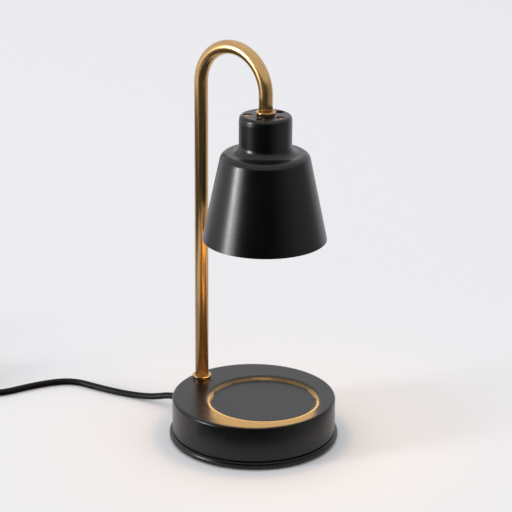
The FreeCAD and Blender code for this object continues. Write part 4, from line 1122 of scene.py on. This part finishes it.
def make_lens(bulb, x):
    """A flat round glass in the reflector's mouth."""
    radius, low, high = bulb.radius - 1.35, bulb.front_height + 0.6, bulb.front_height + 2.4
    line = [(0.0, low), (radius, low, 0.4, 3), (radius, high, 0.4, 3), (0.0, high)]
    add_even_piece("bulb_lens", turned(line, 96, x), "lens_glass", "bulb_front_lens", body="bulb")


def make_burner(bulb, x):
    """The quartz capsule with its flat pinched seal."""
    radius, low, high = bulb.burner_radius, bulb.front_height + 11.0, bulb.front_height + 29.0
    line = [(0.0, low), (radius, low, 4.0, 8), (radius, high, 1.0, 3), (0.0, high)]
    seal = block((x - 3.5, -1.5, high - 1.0), (x + 3.5, 1.5, bulb.front_height + 34.5))
    burner = carved(turned(line, 48, x), [seal], "UNION")
    add_piece("bulb_burner", finished_mesh(burner, "bulb_burner"), "bulb", "burner_quartz", "bulb_capsule")


class LAMP_OT_bulb(bpy.types.Operator):
    """Makes the twist-in bulb: mirrored reflector, front lens, burner, base and pins"""

    bl_idname = "lamp.bulb"
    bl_label = "Make the bulb"

    def execute(self, context):
        bulb, x = sizes_of("bulb"), shade_centre()
        make_reflector(bulb, x)
        make_lens(bulb, x)
        make_burner(bulb, x)
        finish_nodes("bulb_base", "bulb_pins")
        return {"FINISHED"}


# ---------------------------------------------------------------- wiring
def make_cord_relief():
    """The sleeve that holds the cord in the base's wall: its flanges grip the steel from both sides."""
    bore, inner, outer = cord_bore(), -10.9, 10.5
    line = [
        (bore, inner),
        (3.6, inner, 0.3, 2),
        (3.6, -2.9),
        (4.6, -2.9, 0.2, 2),
        (4.6, -1.4, 0.2, 2),
        (3.4, -1.4),
        (3.4, 0.1),
        (4.1, 0.1, 0.2, 2),
        (4.1, 1.3, 0.35, 3),
    ]
    line += ribbed(3.7, 3.1, 1.3, outer, 4) + [(bore, outer)]
    relief = turned_along_x(line, LAMP_SIDE_POINTS[0], -1)
    add_even_piece("cord_relief", relief, "relief_black", "strain_relief")


class LAMP_OT_wiring(bpy.types.Operator):
    """Makes the cord's strain relief, and finishes the leads, the terminal block and the cord clamp"""

    bl_idname = "lamp.wiring"
    bl_label = "Finish the wiring"

    def execute(self, context):
        make_cord_relief()
        finish_nodes("lead_live", "lead_neutral", "mains_cores", "inner_cable", "cord_clamp", "clamp_screws")
        finish_nodes("terminal_block", "terminal_inserts", "terminal_screws")
        return {"FINISHED"}


# ---------------------------------------------------------------- dimmer
DIMMER_CENTRE = (-274.1, -97.5)
DIMMER_SCREW_Y = -92.3
CASE_WALL = 1.6
WHEEL_GAP = 0.35
WHEEL_PROUD = 2.5
SEAM_GAP = 0.02


def case_slab(dimmer, inset, z0, z1, foot_round, top_round):
    """The dimmer's outline, smaller by an inset, raised from z0 to z1."""
    half_x, half_y = dimmer.case_length / 2 - inset, dimmer.case_width / 2 - inset
    outline = rounded_box(DIMMER_CENTRE, half_x, half_y, dimmer.corner_radius - inset)
    return slab(outline, z0, z1, foot_round, top_round)


def wheel_centre(dimmer):
    return DIMMER_CENTRE[0], DIMMER_CENTRE[1] - dimmer.case_width / 2 - WHEEL_PROUD + dimmer.wheel_radius


def case_openings(dimmer):
    """The room for the wheel, which opens the case at its side, and the bores for the sleeves."""
    middle, half = dimmer.case_height / 2, dimmer.wheel_thickness / 2 + WHEEL_GAP
    room = drum(dimmer.wheel_radius + WHEEL_GAP, middle - half, middle + half, wheel_centre(dimmer), 96)
    return [room, rod(3.5, 80.0, (DIMMER_CENTRE[0] - 40.0, DIMMER_CENTRE[1], middle))]


def make_lower_half(dimmer):
    """The lower half shell, with a post for each screw."""
    seam_z, bevel, edge = dimmer.case_height / 2, dimmer.seam, dimmer.edge_rounding
    shell = case_slab(dimmer, 0.0, 0.0, seam_z - SEAM_GAP, edge, bevel)
    shell = carved(shell, [case_slab(dimmer, CASE_WALL, CASE_WALL, seam_z + 1.0, 0.9, 0.0)])
    post_r, head_r, shank_r, reach = 3.0, 2.4, 1.32, dimmer.case_length / 2 - 7.0
    places = [(DIMMER_CENTRE[0] + side * reach, DIMMER_SCREW_Y) for side in (-1, 1)]
    shell = carved(shell, [drum(post_r, 0.8, seam_z - 0.1, place) for place in places], "UNION")
    tools = case_openings(dimmer)
    for place in places:
        tools += [drum(head_r, -1.0, CASE_WALL, place), drum(shank_r, 0.5, 10.0, place, 24)]
    add_even_piece("dimmer_lower_half", carved(shell, tools), "dimmer_plastic", "dimmer_bottom_shell")


def make_upper_half(dimmer):
    """The upper half shell, with the brightness wedge sunk in its top."""
    top, seam_z, wedge_deep, narrow = dimmer.case_height, dimmer.case_height / 2, 0.35, 0.35
    shell = case_slab(dimmer, 0.0, seam_z + SEAM_GAP, top, dimmer.seam, dimmer.edge_rounding)
    x, y = DIMMER_CENTRE
    reach, wide = dimmer.wedge_length / 2, dimmer.wedge_width / 2
    outline = [
        (x - reach, y - narrow, 0.2, 3),
        (x + reach, y - wide, 0.8, 5),
        (x + reach, y + wide, 0.8, 5),
        (x - reach, y + narrow, 0.2, 3),
    ]
    wedge = slab(outline, top - wedge_deep, top + 1.0)
    shell = carved(shell, [case_slab(dimmer, CASE_WALL, seam_z - 1.0, top - CASE_WALL, 0.0, 0.9), wedge])
    shell = carved(shell, case_openings(dimmer))
    add_even_piece("dimmer_upper_half", shell, "dimmer_plastic", "dimmer_top_shell")


def make_wheel(dimmer):
    """The thumbwheel, whose rim is pressed in at each groove."""
    x, y = wheel_centre(dimmer)
    middle, half, groove = dimmer.case_height / 2, dimmer.wheel_thickness / 2, 0.38
    bm = bmesh.new()
    steps, radius = 8 * dimmer.knurls, dimmer.group.wheel_radius
    rim = bmesh.ops.create_circle(bm, segments=steps, radius=radius)["verts"]
    for vert in rim:
        turn = math.atan2(vert.co.y, vert.co.x) * dimmer.knurls
        vert.co *= 1.0 - groove / dimmer.wheel_radius * max(0.0, math.cos(turn)) ** 3
    bmesh.ops.translate(bm, verts=rim, vec=mm(x, y, middle - half))
    wheel = risen(bm, middle - half, middle + half, 0.5, 0.5)
    add_even_piece("thumbwheel", wheel, "wheel_plastic", "dimmer_wheel", body="dimmer_knob")


def make_dimmer_sleeves(dimmer):
    """The ribbed sleeve at each end of the case."""
    bore, tip, steps = cord_bore(), 7.0, 56
    line = [(bore, -3.4), (4.5, -3.4, 0.3, 2), (4.5, -1.8, 0.3, 2), (3.45, -1.8), (3.45, 0.1)]
    line += ribbed(4.2, 3.2, 0.1, tip, 3) + [(bore, tip)]
    half, (x, y), z = dimmer.case_length / 2, DIMMER_CENTRE, dimmer.case_height / 2
    sleeves = side_by_side([turned_along_x(line, (x + way * half, y, z), way, steps) for way in (1, -1)])
    add_even_piece("dimmer_sleeves", sleeves, "relief_black", "dimmer_strain_reliefs")


class LAMP_OT_dimmer(bpy.types.Operator):
    """Makes the dimmer on the cord: two half shells, sleeves and a knurled thumbwheel"""

    bl_idname = "lamp.dimmer"
    bl_label = "Make the dimmer"

    def execute(self, context):
        dimmer = sizes_of("dimmer")
        make_lower_half(dimmer)
        make_upper_half(dimmer)
        make_wheel(dimmer)
        make_dimmer_sleeves(dimmer)
        finish_nodes("dimmer_board", "dimmer_board_parts", "dimmer_potentiometer")
        finish_nodes("dimmer_screws", "dimmer_spindle")
        return {"FINISHED"}


# ---------------------------------------------------------------- plug
PLUG_REAR_X = -259.4


def make_plug_body(plug):
    """The moulded plug: a waisted body with grip grooves, and a ribbed sleeve that the cord runs into."""
    rear, waist, front, y = PLUG_REAR_X, PLUG_REAR_X + 12.0, PLUG_REAR_X + 27.0, TAIL_POINTS[-1][1]
    half, thick, edge, sleeve_end = plug.body_width / 2, plug.body_thickness, plug.edge_rounding, 12.0
    outline = [
        (rear, y - 6.5, 3.0, 6),
        (waist, y - half, 6.0, 8),
        (front, y - half, 3.0, 6),
        (front, y + half, 3.0, 6),
        (waist, y + half, 6.0, 8),
        (rear, y + 6.5, 3.0, 6),
    ]
    line = [(0.0, -3.0), (4.5, -3.0)] + ribbed(4.5, 3.2, 0.0, sleeve_end, 4) + [(0.0, sleeve_end)]
    sleeve = turned_along_x(line, (rear, y, thick / 2), -1, 56)
    body = carved(slab(outline, 0.0, thick, edge, edge), [sleeve], "UNION")
    tools = [rod(cord_bore(), 8.0, (rear - 13.1, y, thick / 2), 48)]
    grip, pitch = 0.6, 2.8
    for index in range(plug.grips):
        x = waist + pitch * index
        for low, high in ((-1.0, grip), (thick - grip, thick + 1.0)):
            tools.append(slab(rounded_box((x + grip, y), grip, half / 2, 0.55, 5), low, high))
    add_even_piece("plug_moulding", carved(body, tools), "plug_pvc", "plug_body")


def make_tie(plug):
    """A band round the coil's two layers, with its lock on top, made upright and then turned into place."""
    cord = sizes_of("cord")
    half, cord_r, thick, lock_proud = plug.tie_width / 2, cord.diameter / 2, 0.8, 0.4
    inner, outer, top = cord.coil_inner_r - cord_r, cord.coil_outer_r + cord_r, cord.coil_high_z + cord_r
    outline = [
        (inner - thick, 0.0, 1.2, 5),
        (outer + thick, 0.0, 1.2, 5),
        (outer + thick, top + thick, 2.8, 8),
        (inner - thick, top + thick, 2.8, 8),
    ]
    room = [(inner, thick, 0.6, 4), (outer, thick, 0.6, 4), (outer, top, 2.2, 8), (inner, top, 2.2, 8)]
    lock = rounded_box(((inner + outer) / 2, top + thick + 0.7), 3.0, 0.9, 0.5, 4)
    band = carved(slab(outline, -half, half), [slab(room, -half - 1.0, half + 1.0)])
    band = carved(band, [slab(lock, -half - lock_proud, half + lock_proud, 0.3, 0.3)], "UNION")
    for turn, axis in ((90, "X"), (120, "Z")):
        matrix = Matrix.Rotation(math.radians(turn), 3, axis)
        bmesh.ops.rotate(band, cent=(0, 0, 0), matrix=matrix, verts=band.verts)
    bmesh.ops.translate(band, verts=band.verts, vec=mm(*COIL_CENTRE, 0.0))
    add_even_piece("coil_tie", band, "tie_wire", "cord_tie")


class LAMP_OT_plug(bpy.types.Operator):
    """Makes the two-blade plug and the tie round the coil"""

    bl_idname = "lamp.plug"
    bl_label = "Make the plug"

    def execute(self, context):
        make_plug_body(sizes_of("plug"))
        make_tie(sizes_of("plug"))
        finish_nodes("plug_blades")
        return {"FINISHED"}


# ---------------------------------------------------------------- cords
LAMP_SIDE_POINTS = [
    (-60.2, 0.0, 10.0),
    (-79.4, 0.0, 10.0),
    (-97.3, -4.2, 4.3),
    (-113.5, -8.2, 2.5),
    (-131.0, -13.2, 2.5),
    (-151.0, -16.4, 2.5),
    (-164.0, -17.9, 2.5),
    (-175.0, -25.0, 2.5),
    (-182.5, -37.5, 2.5),
    (-188.5, -52.5, 2.5),
    (-193.5, -69.0, 2.5),
    (-200.5, -81.1, 3.3),
    (-212.8, -91.4, 5.3),
    (-230.6, -97.5, 8.3),
    (-249.5, -97.5, 8.3),
]
LEAD_IN_POINTS = [(-298.7, -97.5, 8.3), (-313.0, -97.5, 8.3), (-325.0, -97.7, 8.3)]
TAIL_POINTS = [(-297.3, -56.4, 3.3), (-288.7, -64.8, 4.8), (-277.1, -69.4, 7.5), (-264.5, -69.4, 7.5)]
COIL_CENTRE = (-336.0, -60.5)
COIL_ENTER_DEG = 270.0
COIL_TURNS = 6.683
COIL_DROP_TURNS = 0.25


def coil_points(cord):
    """Control points of the coil: upper turns wound inward, then lower turns outward."""
    steps = round(COIL_TURNS * cord.points_per_turn)
    half_step = math.pi / cord.points_per_turn
    widen = 1.0 / (0.75 + 0.25 * math.cos(2 * half_step))
    points = []
    for index in range(1, steps):
        turn = COIL_TURNS * index / steps
        inward = 1.0 - abs(2.0 * index / steps - 1.0)
        r = cord.coil_outer_r + (cord.coil_inner_r - cord.coil_outer_r) * inward
        drop = (turn - COIL_TURNS / 2) / COIL_DROP_TURNS + 0.5
        z = cord.coil_high_z + (cord.coil_low_z - cord.coil_high_z) * min(max(drop, 0.0), 1.0)
        angle = math.radians(COIL_ENTER_DEG) - FULL_TURN * turn
        x = COIL_CENTRE[0] * MM + r * widen * math.cos(angle)
        y = COIL_CENTRE[1] * MM + r * widen * math.sin(angle)
        points.append(Vector((x, y, z)))
    return points


def add_cord(name, points, cord, *nodes):
    """A round cord along one NURBS spline."""
    curve = bpy.data.curves.new(name, "CURVE")
    curve.dimensions = "3D"
    curve.bevel_depth = cord.diameter / 2
    curve.bevel_resolution = 5
    curve.resolution_u = 10
    curve.use_fill_caps = True
    spline = curve.splines.new("NURBS")
    spline.points.add(len(points) - 1)
    for point, place in zip(spline.points, points):
        point.co = (*place, 1.0)
    spline.order_u = 3
    spline.use_endpoint_u = True
    return add_piece(name, curve, "lamp", "cord_black", *nodes)


class LAMP_OT_cords(bpy.types.Operator):
    """Lays the two stretches of mains cord: lamp to dimmer, and dimmer through the coil to the plug"""

    bl_idname = "lamp.cords"
    bl_label = "Lay the cords"

    def execute(self, context):
        cord = context.scene.lamp_cord
        points = [mm(*point) for point in LAMP_SIDE_POINTS]
        lamp_side = add_cord("cord_to_dimmer", points, cord, "cord_lamp_side")
        cord.diameter
        points = [mm(*point) for point in LEAD_IN_POINTS]
        points += coil_points(cord)
        points += [mm(*point) for point in TAIL_POINTS]
        plug_side = add_cord("cord_to_plug", points, cord, "cord_lead_in", "cord_coil", "cord_tail")
        cord.diameter
        return {"FINISHED"}


# ---------------------------------------------------------------- studio
def make_camera(studio):
    """A camera that is turned about the lamp, raised, moved back and tilted about its line of sight."""
    data = bpy.data.cameras.new("Studio camera")
    data.lens = studio.camera_lens
    data.sensor_width = 36.0
    data.clip_start = 0.05
    data.clip_end = 30.0
    camera = in_scene("Studio camera", data)
    camera.matrix_world = (
        Matrix.Rotation(studio.camera_azimuth, 4, "Z")
        @ Matrix.Translation((studio.camera_target_side, 0, studio.camera_target_z))
        @ Matrix.Rotation(math.radians(90) - studio.camera_elevation, 4, "X")
        @ Matrix.Translation((0, 0, studio.camera_distance))
        @ Matrix.Rotation(studio.camera_roll, 4, "Z")
    )
    bpy.context.scene.camera = camera


def make_floor(studio):
    """A plain table top."""
    bm = bmesh.new()
    bmesh.ops.create_grid(bm, x_segments=1, y_segments=1, size=studio.floor_size / 2)
    mesh = plain_mesh(bm, "Table top")
    mesh.materials.append(matt_material("Table top", studio.floor_colour)[0])
    in_scene("Table top", mesh)


def make_room(studio):
    """The world: a pale backdrop to look at, and an even light for the surfaces."""
    world = bpy.data.worlds.new("Studio room")
    bpy.context.scene.world = world
    world.use_nodes = True
    tree = world.node_tree
    tree.nodes.clear()
    path = tree.nodes.new("ShaderNodeLightPath").outputs
    seen = math_node(tree, "MAXIMUM", path["Is Camera Ray"], path["Is Glossy Ray"])
    seen = math_node(tree, "MAXIMUM", seen, path["Is Transmission Ray"])
    light, backdrop = [
        add_node(tree, "ShaderNodeBackground", {"Color": (*tint, 1.0), "Strength": level}).outputs[0]
        for tint, level in (((0.97, 0.98, 1.0), studio.sky_strength), (studio.backdrop_colour, 1.0))
    ]
    mixed = add_node(tree, "ShaderNodeMixShader", {0: seen, 1: light, 2: backdrop}).outputs[0]
    add_node(tree, "ShaderNodeOutputWorld", {"Surface": mixed})


def add_light(name, watts, tint, size, place, look_at, shape="RECTANGLE"):
    """A flat light of that width and height, facing look_at."""
    light = bpy.data.lights.new(name, "AREA")
    light.shape = shape
    light.size, light.size_y = size
    light.energy = watts
    light.color = tint
    holder = in_scene(name, light)
    turn = (look_at - place).to_track_quat("-Z", "Y").to_matrix().to_4x4()
    holder.matrix_world = Matrix.Translation(place) @ turn
    return holder


def make_room_lights(studio):
    """A tall soft light at the left, and a wide one overhead."""
    middle, away = Vector((0, 0, 0.16)), studio.key_distance
    turn = studio.camera_azimuth - studio.side_angle
    side_way = Vector((math.sin(turn), -math.cos(turn), 0))
    aim = middle + Vector((0, 0, 0.1125 * away))
    size = (0.225 * away, 0.40 * away)
    side = add_light("Side light", studio.key_power, (1.0, 1.0, 1.0), size, aim + side_way * away, aim)
    side.visible_camera = False
    overhead = middle + Vector((-0.3, 0.6, 2.0))
    add_light("Top light", studio.top_power, (1.0, 0.99, 0.98), (2.4, 2.4), overhead, middle)


def make_bulb_lights(studio):
    """The bulb's own light below it, and the red light that leaks behind it into the neck."""
    x = shade_centre()
    place, size = mm(x, 0, 158.5), (0.04, 0.04)
    glow = add_light("Bulb light", studio.bulb_power, (1.0, 0.62, 0.27), size, place, mm(x, 0, 0), "DISK")
    glow.visible_camera = False
    light = bpy.data.lights.new("Light behind the bulb", "POINT")
    light.energy = studio.neck_power
    light.color = (1.0, 0.42, 0.28)
    light.shadow_soft_size = 3.0 * MM
    leak = in_scene("Light behind the bulb", light)
    leak.location = mm(x - 9.5, 9.5, 240.0)
    leak.visible_camera = False


def make_wax_glow(studio):
    """A ring of small lights over the dish that face outward, where the wax of a warmed candle glows."""
    ring_r, panels, tint = 37.5, 12, (1.0, 0.53, 0.11)
    width = 2 * ring_r * math.tan(math.pi / panels)
    for low, high, share in ((31.0, 45.0, 0.80), (45.0, 94.0, 0.11), (94.0, 115.0, 0.42)):
        size = (width * MM, (high - low) * MM)
        watts = studio.wax_glow * share * math.pi * size[0] * size[1]
        for index in range(panels):
            turn = FULL_TURN * index / panels
            way = Vector((math.cos(turn), math.sin(turn), 0))
            place = mm(shade_centre(), 0, (low + high) / 2) + way * ring_r * MM
            panel = add_light("Wax glow", watts, tint, size, place, place + way)
            panel.visible_camera = False
            panel.visible_transmission = False


def screen_mesh(studio):
    """The screen with the card before it, and the card's left part, each swept round the lamp."""
    bm = bmesh.new()
    front = (studio.card_start, studio.screen_distance, studio.screen_height)
    left = (studio.left_card_start, studio.left_card_end, 2 * MM)
    spans = (
        (-studio.screen_left, studio.screen_right, front),
        (-studio.card_left, -studio.screen_left, left),
    )
    for start, end, (near, far, height) in spans:
        turn = Matrix.Rotation(studio.camera_azimuth + start, 4, "Z")
        line = [(0, -near, MM), (0, -far, MM), (0, -far, height)]
        verts = [bm.verts.new(turn @ Vector(place)) for place in line]
        geom = verts + [bm.edges.new(pair) for pair in zip(verts, verts[1:])]
        bmesh.ops.spin(bm, geom=geom, cent=(0, 0, 0), axis=(0, 0, 1), angle=end - start, steps=64)
    return plain_mesh(bm, "Dark screen")


def make_screen(studio):
    """A dark curved screen and a dark card on the table top, seen only in the lamp's surfaces."""
    glow_colour = (1.0, 0.99, 0.97, 1.0)
    dark, tree, shader, place = matt_material("Dark screen", grey(0.002), Emission_Color=glow_colour)
    sources = {"Vector": place, "Angle": -studio.camera_azimuth}
    turned_place = add_node(tree, "ShaderNodeVectorRotate", sources, rotation_type="Z_AXIS").outputs[0]
    axes = split_axes(tree, turned_place)
    round_angle = math_node(tree, "ARCTAN2", axes["X"], math_node(tree, "MULTIPLY", axes["Y"], -1.0))
    glow = map_range(tree, round_angle, math.radians(15.0), math.radians(62.0), studio.screen_glow)
    set_sockets(tree, shader, {"Emission Strength": glow})
    mesh = screen_mesh(studio)
    mesh.materials.append(dark)
    screen = in_scene("Dark screen", mesh)
    screen.visible_camera = False
    screen.visible_diffuse = False
    screen.visible_shadow = False
    screen.visible_transmission = False


class LAMP_OT_studio(bpy.types.Operator):
    """Makes the table top, the lights, the room and the camera"""

    bl_idname = "lamp.studio"
    bl_label = "Set up the studio"

    def execute(self, context):
        studio = context.scene.lamp_studio
        make_camera(studio)
        make_floor(studio)
        make_room(studio)
        make_room_lights(studio)
        make_bulb_lights(studio)
        make_wax_glow(studio)
        make_screen(studio)
        return {"FINISHED"}


class LAMP_PT_panel(bpy.types.Panel):
    bl_label = "Candle warmer lamp"
    bl_idname = "LAMP_PT_panel"
    bl_space_type = "VIEW_3D"
    bl_region_type = "UI"
    bl_category = "Lamp"

    def draw(self, context):
        for operator in OPERATORS:
            self.layout.operator(operator.bl_idname)
        for name in SETTINGS:
            box = self.layout.box()
            group = getattr(context.scene, name)
            for key in group.bl_rna.properties.keys():
                if key not in ("rna_type", "name"):
                    box.prop(group, key)


SETTINGS = {
    "lamp_finish": FinishSettings,
    "lamp_base": BaseSettings,
    "lamp_arm": ArmSettings,
    "lamp_shade": ShadeSettings,
    "lamp_bulb": BulbSettings,
    "lamp_dimmer": DimmerSettings,
    "lamp_plug": PlugSettings,
    "lamp_cord": CordSettings,
    "lamp_studio": StudioSettings,
}
OPERATORS = [
    LAMP_OT_studio,
    LAMP_OT_base,
    LAMP_OT_arm,
    LAMP_OT_shade,
    LAMP_OT_bulb,
    LAMP_OT_wiring,
    LAMP_OT_dimmer,
    LAMP_OT_plug,
    LAMP_OT_cords,
]
CLASSES = [*SETTINGS.values(), *OPERATORS, LAMP_PT_panel]


def register():
    for kind in CLASSES:
        bpy.utils.register_class(kind)
    for name, group in SETTINGS.items():
        setattr(bpy.types.Scene, name, PointerProperty(type=group))


def unregister():
    for name in SETTINGS:
        delattr(bpy.types.Scene, name)
    for kind in reversed(CLASSES):
        bpy.utils.unregister_class(kind)


def main():
    register()
    bpy.ops.lamp.studio()
    bpy.ops.lamp.base()
    bpy.ops.lamp.arm()
    bpy.ops.lamp.shade()
    bpy.ops.lamp.bulb()
    bpy.ops.lamp.wiring()
    bpy.ops.lamp.dimmer()
    bpy.ops.lamp.plug()
    bpy.ops.lamp.cords()
    bpy.context.scene.view_settings.view_transform = "Standard"


if __name__ == "__main__":
    main()
